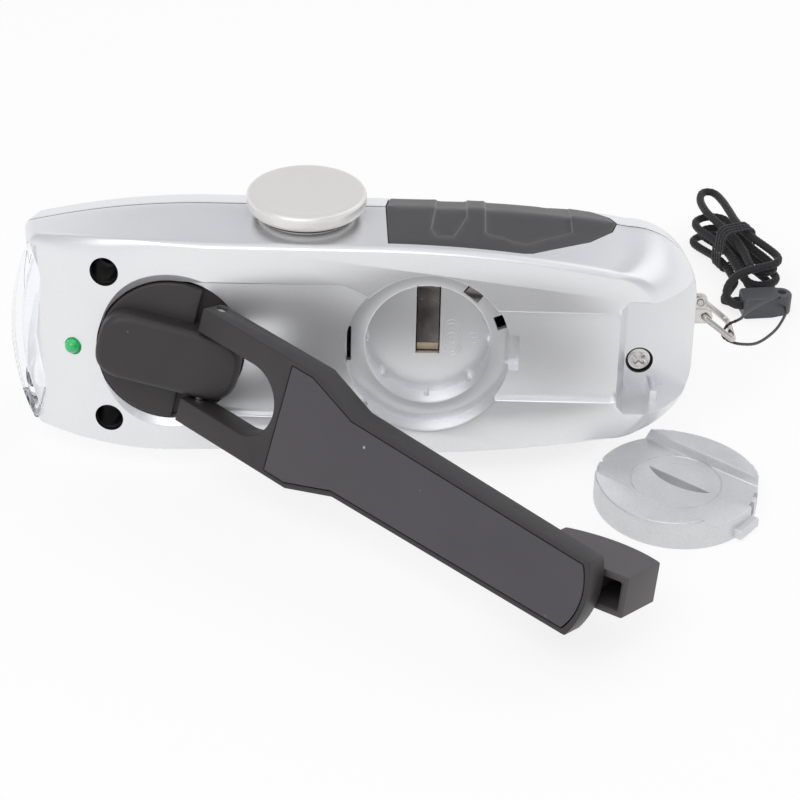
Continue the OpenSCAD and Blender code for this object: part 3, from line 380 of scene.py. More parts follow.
def pillow(plan: Sequence[Flat], z0: float, z1: float, edge: float, foot: float = 0.0,
           top: Callable[[float, float], float] | None = None) -> Block:
    """Block on a convex plan with a rounded upper edge, a rounded foot and a shaped top.

    Args:
        plan: Counter-clockwise outline.
        z0: Lower end.
        z1: Upper end.
        edge: Radius of the upper edge.
        foot: Radius of the lower edge.
        top: Height added over the plan, from the upper edge on.

    Returns:
        The block.
    """
    block = Block()
    rings = []
    lift = top or (lambda x, y: 0.0)
    for i in range(5 if foot else 1):
        t = math.radians(22.5 * i)
        rings.append(block.ring(offset(plan, -foot * (1 - math.sin(t))),
                                z0 + foot * (1 - math.cos(t))))
    for i in range(7):
        t = math.radians(15 * i)
        z = z1 - edge + edge * math.sin(t)
        drawn = offset(plan, -edge * (1 - math.cos(t)))
        rings.append(block.ring(drawn, lambda x, y, z=z: z + lift(x, y)))
    inner = offset(plan, -edge)
    cx = sum(p[0] for p in inner) / len(inner)
    cy = sum(p[1] for p in inner) / len(inner)
    for s in (0.86, 0.7, 0.52, 0.34, 0.16):
        shrunk = [(cx + (x - cx) * s, cy + (y - cy) * s) for x, y in inner]
        rings.append(block.ring(shrunk, lambda x, y: z1 + lift(x, y)))
    block.wall(rings)
    block.faces.append(tuple(reversed(rings[0])))
    block.fan(rings[-1], (cx, cy, z1 + lift(cx, cy)))
    return block


# Blender objects


def linked(name: str, data: bpy.types.ID) -> Object:
    """New object of some data, in the scene."""
    obj = bpy.data.objects.new(name, data)
    bpy.context.scene.collection.objects.link(obj)
    return obj


def raw(name: str, block: Block, matrix: Matrix | None = None) -> Object:
    """Object of a block, with its normals outwards and its place in its mesh.

    Args:
        name: Name of the object.
        block: The shape.
        matrix: Where it goes, or none to stay in drawing units.

    Returns:
        The object, linked to the scene.
    """
    mesh = bpy.data.meshes.new(name)
    mesh.from_pydata(block.verts, [], block.faces)
    bm = bmesh.new()
    bm.from_mesh(mesh)
    bmesh.ops.recalc_face_normals(bm, faces=bm.faces)
    bm.to_mesh(mesh)
    bm.free()
    if matrix:
        mesh.transform(matrix)
    return linked(name, mesh)


def drop(obj: Object) -> None:
    """Removes an object and its mesh."""
    mesh = obj.data
    bpy.data.objects.remove(obj)
    bpy.data.meshes.remove(mesh)


def settle(obj: Object) -> Object:
    """Turns an object's modifiers into plain mesh."""
    graph = bpy.context.evaluated_depsgraph_get()
    mesh = bpy.data.meshes.new_from_object(
        obj.evaluated_get(graph), preserve_all_data_layers=True, depsgraph=graph)
    old = obj.data
    obj.modifiers.clear()
    obj.data = mesh
    bpy.data.meshes.remove(old)
    return obj


def carve(target: Object, tool: Object, how: Cut = Cut.AWAY, bare: bool = False) -> Object:
    """Changes one object by another, which is used up.

    Args:
        target: The object that is kept.
        tool: The object that cuts or joins.
        how: What is done.
        bare: Whether a painted target shows its dark plastic where it is cut; in bores this dark
            colour also paints their shade.

    Returns:
        The target.
    """
    if target.data.materials:
        tool.data.materials.append((BARE_AND_SHADE if bare else SILVER).material())
    change = target.modifiers.new("cut", "BOOLEAN")
    change.operation = how.value
    change.solver = "EXACT"
    change.material_mode = "TRANSFER"
    change.object = tool
    settle(target)
    drop(tool)
    return target


def round_edges(obj: Object, width: float, angle: float = 35, steps: int = 3) -> Object:
    """Rounds the edges of an object that are sharper than an angle, in its own units."""
    bevel = obj.modifiers.new("edges", "BEVEL")
    bevel.width = width
    bevel.segments = steps
    bevel.limit_method = "ANGLE"
    bevel.angle_limit = math.radians(angle)
    bevel.use_clamp_overlap = False
    bevel.miter_outer = "MITER_ARC"
    return settle(obj)


def shade(obj: Object, angle: float = 32) -> Object:
    """Shades an object smoothly, apart from edges sharper than an angle."""
    obj.data.polygons.foreach_set("use_smooth", [True] * len(obj.data.polygons))
    obj.data.set_sharp_from_angle(angle=math.radians(angle))
    return obj


def soft_copy(nodes: dict[str, Object], name: str, width: float = 0.0) -> Object:
    """Copy of a CAD node with its triangles joined into whole faces and its edges rounded.

    Args:
        nodes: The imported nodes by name, which are left alone.
        name: The node to copy.
        width: Width of the rounding in millimetres, or none.

    Returns:
        The copy, linked to the scene.
    """
    mesh = bpy.data.meshes.new(f"{name}_soft")
    bm = bmesh.new()
    bm.from_mesh(nodes[name].data)
    bmesh.ops.remove_doubles(bm, verts=bm.verts, dist=SAME_SPOT)
    bmesh.ops.dissolve_limit(bm, angle_limit=FLAT_ANGLE, verts=bm.verts, edges=bm.edges)
    bmesh.ops.recalc_face_normals(bm, faces=bm.faces)
    bm.to_mesh(mesh)
    bm.free()
    obj = linked(f"{name}_soft", mesh)
    if width:
        round_edges(obj, width * MM)
    return shade(obj)


# Shader effects that several finishes share


class Graph:
    """Adds nodes to a tree and links them."""

    def __init__(self, tree: Tree) -> None:
        """Keeps the tree."""
        self.tree = tree

    def add(self, kind: str, settings: dict | None = None, inputs: dict | None = None) -> Node:
        """Adds a node.

        Args:
            kind: Type of the node.
            settings: Its properties.
            inputs: Its sockets, each with a value or a socket to link.

        Returns:
            The node.
        """
        node = self.tree.nodes.new(kind)
        for key, value in (settings or {}).items():
            setattr(node, key, value)
        for key, value in (inputs or {}).items():
            if isinstance(value, Socket):
                self.tree.links.new(value, node.inputs[key])
            else:
                node.inputs[key].default_value = value
        return node

    def math(self, how: str, a: object, b: object = 0.0) -> Socket:
        """Result of one sum."""
        return self.add("ShaderNodeMath", {"operation": how}, {0: a, 1: b}).outputs[0]

    def between(self, value: object, low: float, high: float, out_low: float = 0.0,
                out_high: float = 1.0) -> Socket:
        """Value moved from one range to another and held in it."""
        return self.add("ShaderNodeMapRange", None, {
            0: value, 1: low, 2: high, 3: out_low, 4: out_high}).outputs[0]

    def link(self, start: Socket, end: Socket) -> None:
        """Links one socket to another."""
        self.tree.links.new(start, end)

    def place(self) -> Socket:
        """Place on the piece, in its own axes."""
        return self.add("ShaderNodeTexCoord").outputs["Object"]

    def xyz(self, x: object = 0.0, y: object = 0.0, z: object = 0.0) -> Socket:
        """Vector of three numbers."""
        return self.add("ShaderNodeCombineXYZ", None, {0: x, 1: y, 2: z}).outputs[0]

    def looked_at(self) -> Socket:
        """One for what is seen, also by a shiny or clear piece, and nothing for room light."""
        path = self.add("ShaderNodeLightPath")
        looked = self.math("MAXIMUM", path.outputs["Is Camera Ray"], path.outputs["Is Glossy Ray"])
        return self.math("MAXIMUM", looked, path.outputs["Is Transmission Ray"])

    def blend(self, share: object, first: object, second: object) -> Socket:
        """Colour between two colours."""
        return self.add("ShaderNodeMix", {"data_type": "RGBA"},
                        {0: share, 6: first, 7: second}).outputs[2]


def effect(name: str, inputs: dict[str, float], outputs: Sequence[str],
           wire: Callable[[Graph, Node, Node], None]) -> Tree:
    """Shared shader group, made at its first use.

    Args:
        name: Name of the group.
        inputs: Named inputs with their defaults.
        outputs: Named outputs.
        wire: Adds the inner nodes.

    Returns:
        The group.
    """
    tree = bpy.data.node_groups.get(name)
    if tree:
        return tree
    tree = bpy.data.node_groups.new(name, "ShaderNodeTree")
    for label, value in inputs.items():
        tree.interface.new_socket(label, in_out="INPUT",
                                  socket_type="NodeSocketFloat").default_value = value
    for label in outputs:
        tree.interface.new_socket(label, in_out="OUTPUT", socket_type="NodeSocketFloat")
    graph = Graph(tree)
    wire(graph, graph.add("NodeGroupInput"), graph.add("NodeGroupOutput"))
    return tree


def wire_grain(graph: Graph, given: Node, out: Node) -> None:
    """Moulded grain: fine height, patchy tone and a roughness that wanders."""
    place = graph.place()
    pull = graph.xyz(given.outputs["Along x"], 1.0, 1.0)
    spot = graph.add("ShaderNodeVectorMath", {"operation": "MULTIPLY"},
                     {0: place, 1: pull}).outputs[0]
    fine = graph.add(
        "ShaderNodeTexNoise", None, {"Vector": spot, "Scale": given.outputs["Fine"], "Detail": 3.0})
    broad = graph.add("ShaderNodeTexNoise", None, {
        "Vector": spot, "Scale": given.outputs["Broad"], "Detail": 4.0})
    swing = graph.math("MULTIPLY", graph.math("SUBTRACT", broad.outputs[0], 0.5),
                       given.outputs["Spread"])
    nap = graph.math("MULTIPLY", graph.math("SUBTRACT", fine.outputs[0], 0.5),
                     given.outputs["Spread"])
    graph.link(fine.outputs[0], out.inputs["Height"])
    graph.link(graph.between(broad.outputs[0], 0.3, 0.7), out.inputs["Tone"])
    rough = graph.math("ADD", given.outputs["Rough"], graph.math("ADD", swing, nap))
    graph.link(rough, out.inputs["Roughness"])


def wire_flake(graph: Graph, given: Node, out: Node) -> None:
    """Metal flakes: each cell has its own brightness, and a few of them glint."""
    place = graph.place()
    cells = graph.add(
        "ShaderNodeTexVoronoi", None, {"Vector": place, "Scale": given.outputs["Size"]})
    own = graph.add("ShaderNodeSeparateColor", None, {0: cells.outputs["Color"]})
    graph.link(own.outputs[0], out.inputs["Tone"])
    graph.link(graph.between(own.outputs[1], 0.9, 0.97), out.inputs["Glint"])


def wire_specks(graph: Graph, given: Node, out: Node) -> None:
    """Dust specks and short scuffs, thinly spread."""
    place = graph.place()
    cells = graph.add(
        "ShaderNodeTexVoronoi", None, {"Vector": place, "Scale": given.outputs["Size"]})
    own = graph.add("ShaderNodeSeparateColor", None, {0: cells.outputs["Color"]})
    near = graph.between(cells.outputs["Distance"], 0.06, 0.16, 1.0, 0.0)
    few = graph.math("LESS_THAN", own.outputs[0], given.outputs["Share"])
    dust = graph.math("MULTIPLY", graph.math("MULTIPLY", near, few), own.outputs[2])
    graph.link(dust, out.inputs["Dust"])


def grain_effect() -> Tree:
    """The shared moulded grain."""
    return effect("Moulded grain", {"Fine": 4000.0, "Broad": 120.0, "Rough": 0.4, "Spread": 0.1,
                                    "Along x": 1.0}, ("Height", "Tone", "Roughness"), wire_grain)


def flake_effect() -> Tree:
    """The shared metal flake."""
    return effect("Metal flake", {"Size": 5000.0}, ("Tone", "Glint"), wire_flake)


def speck_effect() -> Tree:
    """The shared dust."""
    return effect("Dust specks", {"Size": 700.0, "Share": 0.03}, ("Dust",), wire_specks)


# Finishes


@dataclass(frozen=True)
class Finish:
    """A solid finish: its colour, sheen, grain, flakes, dust, and a second colour on marked faces
    for bare plastic, tan ends, painted shade and painted highlights.
    """

    name: str
    colour: Colour
    roughness: float
    metallic: float = 0.0
    spread: float = 0.12
    tone: float = 0.08
    fine: float = 4000.0
    broad: float = 120.0
    along: float = 1.0
    relief: float = 0.15
    depth: float = 0.00002
    flake: float = 0.0
    flake_size: float = 5000.0
    glint: float = 0.7
    dust: float = 0.0
    dust_size: float = 700.0
    worn: Colour | None = None
    patch: float = 0.35
    coat: float = 0.0
    clear: float = 0.0
    bend: float = 1.5
    specular: float = 0.5
    painted_glow: float = 0.0

    def shifted(self, share: float) -> tuple[float, float, float, float]:
        """The colour made lighter or darker by a share."""
        return (*(min(1.0, c * (1 + share)) for c in self.colour), 1.0)

    def material(self) -> bpy.types.Material:
        """The material of this finish, made at its first use."""
        found = bpy.data.materials.get(self.name)
        if found:
            return found
        made = bpy.data.materials.new(self.name)
        made.use_nodes = True
        made.diffuse_color = self.shifted(0)
        graph = Graph(made.node_tree)
        shader = made.node_tree.nodes["Principled BSDF"]
        self.dress(graph, shader)
        return made

    def dress(self, graph: Graph, shader: Node) -> None:
        """Wires the effects into the shader.

        Args:
            graph: The material's nodes.
            shader: Its Principled BSDF.
        """
        grain = graph.add("ShaderNodeGroup", {"node_tree": grain_effect()},
                          {"Fine": self.fine, "Broad": self.broad, "Rough": self.roughness,
                           "Spread": self.spread, "Along x": self.along})
        colour = graph.blend(grain.outputs["Tone"], self.shifted(-self.tone),
                             self.shifted(self.tone))
        if self.flake:
            flake = graph.add("ShaderNodeGroup", {"node_tree": flake_effect()},
                              {"Size": self.flake_size})
            share = graph.math("MULTIPLY", flake.outputs["Tone"], self.flake)
            colour = graph.blend(share, colour, self.shifted(-0.55))
            colour = graph.blend(graph.math("MULTIPLY", flake.outputs["Glint"], self.glint), colour,
                                 (1.0, 1.0, 1.0, 1.0))
        # Second colour on marked faces: bare plastic and a tan end as given, painted shade beside
        # the seam, and painted highlights on the grips' edges.
        if self.worn:
            edge = graph.add("ShaderNodeAttribute", {"attribute_name": "worn"}).outputs["Fac"]
            patchy = graph.math(
                "MULTIPLY", edge, graph.between(grain.outputs["Tone"], 0.0, 0.6, self.patch, 1.0))
            colour = graph.blend(patchy, colour, (*self.worn, 1.0))
            if self.metallic:
                kept = graph.math("MULTIPLY", graph.math("SUBTRACT", 1.0, edge), self.metallic)
                graph.link(kept, shader.inputs["Metallic"])
        if self.dust:
            dust = graph.add("ShaderNodeGroup", {"node_tree": speck_effect()},
                             {"Size": self.dust_size, "Share": self.dust})
            colour = graph.blend(dust.outputs["Dust"], colour, (0.75, 0.75, 0.74, 1.0))
        bump = graph.add("ShaderNodeBump", None, {"Strength": self.relief, "Distance": self.depth,
                                                  "Height": grain.outputs["Height"]})
        links = graph.tree.links
        links.new(colour, shader.inputs["Base Color"])
        links.new(grain.outputs["Roughness"], shader.inputs["Roughness"])
        links.new(bump.outputs[0], shader.inputs["Normal"])
        for label, value in {"Metallic": self.metallic, "Coat Weight": self.coat,
                             "Coat Roughness": 0.12, "Transmission Weight": self.clear,
                             "IOR": self.bend, "Specular IOR Level": self.specular}.items():
            shader.inputs[label].default_value = value
        if self.painted_glow:
            links.new(colour, shader.inputs["Emission Color"])
            shader.inputs["Emission Strength"].default_value = self.painted_glow


@dataclass(frozen=True)
class Braid(Finish):
    """A textile finish whose weave follows the piece's own map along its length."""

    ends: float = 3.0
    picks: float = 1.1

    def dress(self, graph: Graph, shader: Node) -> None:
        """Wires a crossed weave and loose fibres into the shader.

        Args:
            graph: The material's nodes.
            shader: Its Principled BSDF.
        """
        sheet = graph.add("ShaderNodeUVMap", {"uv_map": "weave"}).outputs[0]
        parts = graph.add("ShaderNodeSeparateXYZ", None, {0: sheet})
        round_turn = graph.math("MULTIPLY", parts.outputs[0], 2 * math.pi * self.ends)
        along = graph.math("MULTIPLY", parts.outputs[1], 2 * math.pi / self.picks)
        left = graph.math("SINE", graph.math("ADD", round_turn, along))
        right = graph.math("SINE", graph.math("SUBTRACT", round_turn, along))
        weave = graph.between(graph.math("MULTIPLY", left, right), -1.0, 1.0)
        place = graph.place()
        fibre = graph.add("ShaderNodeTexNoise", None, {
            "Vector": place, "Scale": self.fine, "Detail": 4.0}).outputs[0]
        # The colour darkens where the weave sinks: painted shade between the strands.
        colour = graph.blend(weave, self.shifted(-0.5), self.shifted(self.tone))
        fuzz = graph.between(fibre, 0.62, 0.74)
        colour = graph.blend(graph.math("MULTIPLY", fuzz, 0.35), colour,
                             (*(self.worn or self.colour), 1.0))
        height = graph.math("ADD", graph.math("MULTIPLY", weave, 0.7),
                            graph.math("MULTIPLY", fibre, 0.5))
        bump = graph.add("ShaderNodeBump", None, {
            "Strength": self.relief, "Distance": self.depth, "Height": height})
        links = graph.tree.links
        links.new(colour, shader.inputs["Base Color"])
        links.new(graph.between(fibre, 0.2, 0.8, self.roughness - 0.1, self.roughness + 0.1),
                  shader.inputs["Roughness"])
        links.new(bump.outputs[0], shader.inputs["Normal"])
        shader.inputs["Sheen Weight"].default_value = 0.25
        shader.inputs["Sheen Roughness"].default_value = 0.4


# Dark bare plastic inside the shells and in their bores, where it also stands in for their shade;
# it also paints the shade beside the seam.
BARE_AND_SHADE = Finish("Bare plastic", shown(34, 32, 32), 0.5, tone=0.1, relief=0.1)
# The paint's second colour is the dark plastic colour, used as painted shade on the faces beside
# the seam.
SILVER = Finish("Silver paint", (0.90, 0.905, 0.92), 0.32, metallic=0.68, spread=0.06, tone=0.02,
                fine=2600.0, broad=60.0, relief=0.04, flake=0.05, flake_size=5600.0, glint=0.2,
                worn=BARE_AND_SHADE.colour, patch=1.0)
# Its light second colour is a painted highlight along the grip's edge and its panels' rims.
RUBBER = Finish("Grip rubber", shown(64, 63, 64), 0.44, spread=0.14, tone=0.08, fine=5200.0,
                broad=120.0, relief=0.3, dust=0.03, worn=shown(150, 149, 147), specular=0.7)
CLEAR = Finish("Clear visor", (0.97, 0.98, 1.0), 0.03, spread=0.02, tone=0.01, fine=900.0,
               broad=90.0, relief=0.02, clear=1.0, bend=1.22)
MIRROR = Finish("Mirror coat", (0.92, 0.92, 0.93), 0.09, metallic=1.0, spread=0.05, tone=0.03,
                relief=0.03)
LAMP = Finish("Lamp resin", (0.95, 0.93, 0.80), 0.12, spread=0.06, tone=0.05, relief=0.03,
              clear=0.35, coat=0.4)
# Its emission is a painted glow that brightens the charge LED's resin.
GREEN = Finish("Green lamp resin", shown(46, 182, 104), 0.14, spread=0.05, tone=0.12, broad=500.0,
               relief=0.03, clear=0.1, coat=0.5, painted_glow=0.30)
BOARD = Finish("Circuit board", shown(28, 92, 54), 0.38, spread=0.1, tone=0.2, fine=2200.0,
               broad=600.0, relief=0.1)
DARK = Finish("Dark resin", shown(38, 38, 40), 0.45, relief=0.12, dust=0.02)
WHITE = Finish("White resin", shown(226, 222, 208), 0.4, tone=0.04, relief=0.08)
BRASS = Finish("Bush brass", (0.80, 0.60, 0.28), 0.3, metallic=1.0, tone=0.12, along=14.0,
               relief=0.1)
CORE = Finish("Core steel", (0.42, 0.43, 0.45), 0.42, metallic=1.0, tone=0.12, fine=3000.0,
              along=10.0)
COPPER = Finish("Coil copper", (0.78, 0.36, 0.18), 0.34, metallic=1.0, tone=0.2, fine=5200.0,
                along=0.1, relief=0.5)
NICKEL = Finish("Nickel", (0.70, 0.68, 0.65), 0.26, metallic=1.0, spread=0.14, tone=0.1,
                relief=0.06)
# Nickel contacts given a dark colour: painted shade and dark reflection of their surroundings; the
# second colour marks the leaf's tan end.
CONTACT_PAINTED_DARK = Finish("Contact metal", (0.22, 0.20, 0.19), 0.22, metallic=1.0, spread=0.16, tone=0.25,
                 broad=260.0, relief=0.06, worn=shown(222, 203, 176), patch=0.8)
CHROME = Finish("Chrome wire", (0.56, 0.53, 0.51), 0.12, metallic=1.0, spread=0.1, tone=0.06,
                relief=0.03)
BLACK = Finish("Black plastic", shown(58, 55, 56), 0.46, spread=0.14, tone=0.07, fine=4600.0,
               broad=140.0, relief=0.22, dust=0.05, dust_size=420.0, specular=0.45)
KNOB = Finish("Knob plastic", shown(84, 80, 82), 0.5, spread=0.14, tone=0.08, fine=4600.0,
              broad=140.0, relief=0.25, dust=0.04, dust_size=420.0)
PLATE = Finish("Arm plate", shown(82, 80, 84), 0.5, spread=0.1, tone=0.05, fine=5600.0, broad=90.0,
               relief=0.2, dust=0.03, dust_size=380.0, specular=0.42)
STEEL = Finish("Cell steel", (0.95, 0.93, 0.90), 0.36, metallic=0.4, spread=0.02, tone=0.01,
               fine=1500.0, broad=70.0, along=3.0, relief=0.01)
SATIN = Finish("Cover silver", (0.78, 0.785, 0.80), 0.42, metallic=0.55, spread=0.14, tone=0.04,
               fine=3600.0, broad=160.0, relief=0.4, depth=0.00004, flake=0.12, flake_size=5200.0,
               glint=0.35)
GREY = Finish("Grey plastic", shown(84, 85, 89), 0.4, spread=0.12, tone=0.07, relief=0.15,
              dust=0.02)
CORD = Braid("Black cord", shown(30, 30, 32), 0.74, tone=0.5, fine=5200.0, relief=0.55,
             depth=0.00006, worn=shown(86, 86, 88))
STRING = Braid("Black string", shown(34, 34, 36), 0.66, tone=0.5, fine=6000.0, relief=0.4,
               depth=0.00003, worn=shown(96, 96, 98), ends=1.0, picks=1.6)
TIE = Braid("Grey elastic", shown(58, 58, 60), 0.7, tone=0.45, fine=6000.0, relief=0.4,
            depth=0.00003, worn=shown(120, 120, 122), ends=1.0, picks=1.2)


def wear(obj: Object, finish: Finish, slot: str, body: str, *nodes: str) -> Object:
    """Gives a piece its finish and its place in the frame.

    Args:
        obj: The piece.
        finish: Its finish.
        slot: The record's material slot; not used.
        body: The body that it moves with.
        *nodes: CAD nodes that it stands for.

    Returns:
        The piece.
    """
    obj.data.materials.clear()
    obj.data.materials.append(finish.material())
    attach(obj, body)
    if nodes:
        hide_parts(*nodes)
    log.info("%s: %d faces on %s", obj.name, len(obj.data.polygons), body)
    return obj


# Studio


@dataclass
class Studio:
    """Floor, light and the photograph's camera."""

    eye: Spot = (14.52, -393.50, 260.51)
    pitch: float = 33.0
    roll: float = 1.3
    focal_px: float = 2172.0
    frame_px: float = 800.0
    ambient: float = 0.52
    key_power: float = 2.6
    rim_power: float = 0.8

    def camera(self) -> None:
        """Sets the camera at the photograph's viewing angle."""
        data = bpy.data.cameras.new("camera")
        data.sensor_width = 36.0
        data.lens = 36.0 * self.focal_px / self.frame_px
        data.clip_start = 0.01
        data.clip_end = 20.0
        obj = linked("camera", data)
        turn = turned(90 - self.pitch, "X") @ turned(self.roll)
        obj.matrix_world = Matrix.Translation([v * MM for v in self.eye]) @ turn
        bpy.context.scene.camera = obj

    def lamp(self, name: str, place: Spot, aim: Spot, size: float, power: float) -> None:
        """Adds a square soft lamp.

        Args:
            name: Its name.
            place: Where it hangs, in metres.
            aim: What it points at.
            size: Edge of the square.
            power: Watts.
        """
        data = bpy.data.lights.new(name, "AREA")
        data.size = size
        data.energy = power
        obj = linked(name, data)
        obj.location = place
        obj.rotation_euler = (Vector(aim) - Vector(place)).to_track_quat("-Z", "Y").to_euler()

    def world(self) -> None:
        """Even room light, and a pale studio that shiny pieces reflect."""
        world = bpy.data.worlds.new("studio")
        world.use_nodes = True
        bpy.context.scene.world = world
        tree = world.node_tree
        tree.nodes.clear()
        graph = Graph(tree)
        way = graph.add("ShaderNodeTexCoord").outputs["Generated"]
        height = graph.add("ShaderNodeSeparateXYZ", None, {0: way}).outputs[2]
        ramp = graph.add("ShaderNodeValToRGB", None, {0: graph.between(height, -1.0, 1.0)})
        stops = ramp.color_ramp.elements
        stops[0].position, stops[0].color = 0.0, (1.0, 1.0, 1.0, 1.0)
        stops[1].position, stops[1].color = 1.0, (0.85, 0.86, 0.88, 1.0)
        for place, colour in ((0.56, (0.98, 0.985, 1.0, 1.0)), (0.70, (0.60, 0.61, 0.645, 1.0)),
                              (0.82, (0.45, 0.46, 0.50, 1.0))):
            stops.new(place).color = colour
        seen = graph.add("ShaderNodeBackground", None, {0: ramp.outputs[0], 1: 1.0})
        room = graph.add("ShaderNodeBackground", None, {0: (1.0, 1.0, 1.0, 1.0), 1: self.ambient})
        mix = graph.add("ShaderNodeMixShader", None, {
            0: graph.looked_at(), 1: room.outputs[0], 2: seen.outputs[0]})
        graph.add("ShaderNodeOutputWorld", None, {0: mix.outputs[0]})

    def floor(self) -> None:
        """Plain white floor that keeps a pale shadow."""
        block = Block()
        block.verts = [(-4, -4, 0), (4, -4, 0), (4, 4, 0), (-4, 4, 0)]
        block.faces = [(0, 1, 2, 3)]
        obj = raw("studio_floor", block)
        made = bpy.data.materials.new("Studio floor")
        made.use_nodes = True
        tree = made.node_tree
        tree.nodes.clear()
        graph = Graph(tree)
        plain = graph.add("ShaderNodeBsdfDiffuse", None, {0: (0.86, 0.86, 0.87, 1.0)})
        pale = graph.add("ShaderNodeBsdfDiffuse", None, {0: (0.24, 0.24, 0.24, 1.0)})
        white = graph.add("ShaderNodeEmission", None, {0: (1.0, 1.0, 1.0, 1.0), 1: 0.80})
        both = graph.add("ShaderNodeAddShader", None, {0: pale.outputs[0], 1: white.outputs[0]})
        mix = graph.add("ShaderNodeMixShader", None, {
            0: graph.looked_at(), 1: plain.outputs[0], 2: both.outputs[0]})
        graph.add("ShaderNodeOutputMaterial", None, {0: mix.outputs[0]})
        obj.data.materials.append(made)

    def build(self) -> None:
        """Sets the whole studio."""
        bpy.context.scene.view_settings.view_transform = "Standard"
        self.camera()
        self.world()
        self.floor()
        self.lamp("key", (-0.25, -0.55, 0.75), (0.0, 0.0, 0.03), 0.7, self.key_power)
        self.lamp("rim", (0.5, 0.35, 0.6), (0.0, 0.0, 0.03), 0.6, self.rim_power)


# Lanyard


def spline(route: Sequence[Spot], parts: int) -> list[Spot]:
    """Smooth points through a route, as in the part's source.

    Args:
        route: Points that the line passes.
        parts: Points to each stretch.

    Returns:
        The finer points, the last one included.
    """
    points = [Vector(p) for p in route]
    last = len(points) - 1
    found = []
    for i in range(last):
        a, b, c, d = points[max(i - 1, 0)], points[i], points[i + 1], points[min(i + 2, last)]
        for k in range(parts):
            t = k / parts
            found.append(0.5 * (2 * b + (c - a) * t + (2 * a - 5 * b + 4 * c - d) * t * t
                                + (3 * b - a - 3 * c + d) * t ** 3))
    return [tuple(p) for p in found] + [tuple(points[-1])]


def length_of(points: Sequence[Spot]) -> float:
    """Length of a line of points."""
    return sum((Vector(b) - Vector(a)).length for a, b in zip(points, points[1:]))


def evenly(points: Sequence[Spot], spacing: float) -> list[Spot]:
    """Points at even steps along a line.

    Args:
        points: The line.
        spacing: About how far the new points are apart.

    Returns:
        The new points, both ends included.
    """
    total = length_of(points)
    count = max(2, round(total / spacing))
    found, run, i = [tuple(points[0])], 0.0, 0
    for k in range(1, count):
        while run + (Vector(points[i + 1]) - Vector(points[i])).length < total * k / count:
            run += (Vector(points[i + 1]) - Vector(points[i])).length
            i += 1
        a, b = Vector(points[i]), Vector(points[i + 1])
        found.append(tuple(a.lerp(b, (total * k / count - run) / ((b - a).length or 1.0))))
    return found + [tuple(points[-1])]


@dataclass(frozen=True)
class Strand:
    """A laid or braided line whose strands stand out of its surface."""

    diameter: float
    sides: int
    step: float
    sink: float
    ends: int
    pick: float
    laid: bool = False

    def tube(self, name: str, line: Sequence[Spot]) -> tuple[Object, list[Spot]]:
        """Sweeps the line's section along a route.

        Args:
            name: Name of the piece.
            line: Route in millimetres.

        Returns:
            The piece, and the points that it follows in metres.
        """
        points = [Vector(p) for p in evenly(spline(evenly(line, 1.6), 8), self.step)]
        tangents = [(points[min(i + 1, len(points) - 1)] - points[max(i - 1, 0)]).normalized()
                    for i in range(len(points))]
        side = tangents[0].orthogonal().normalized()
        block, rings, run, runs = Block(), [], 0.0, []
        for i, (p, t) in enumerate(zip(points, tangents)):
            if i:
                run += (p - points[i - 1]).length
                side = (side - t * side.dot(t)).normalized()
            other = t.cross(side)
            ring = []
            for k in range(self.sides):
                a = 2 * math.pi * k / self.sides
                r = self.diameter / 2 * (1 - self.sink * self.hollow(a, run))
                ring.append(len(block.verts))
                block.verts.append(tuple(p + (side * math.cos(a) + other * math.sin(a)) * r))
            rings.append(ring)
            runs.append(run)
        block.stack(rings)
        obj = raw(name, block, FLOOR)
        sheet = obj.data.uv_layers.new(name="weave")
        for face in obj.data.polygons:
            nums = [obj.data.loops[j].vertex_index for j in face.loop_indices]
            wraps = len(nums) == 4 and {n % self.sides for n in nums} == {0, self.sides - 1}
            for j, n in zip(face.loop_indices, nums):
                u = n % self.sides / self.sides
                sheet.data[j].uv = (1.0 if wraps and u == 0 else u, runs[n // self.sides])
        shade(obj, 75)
        return obj, [tuple(p * MM) for p in points]

    def hollow(self, angle: float, run: float) -> float:
        """How far the surface sinks between strands, from 0 to 1."""
        along = math.pi * run / self.pick
        if self.laid:
            return math.sin(angle * self.ends / 2 - along) ** 2
        return 0.5 - 0.5 * math.sin(self.ends * angle + along) * math.sin(self.ends * angle - along)


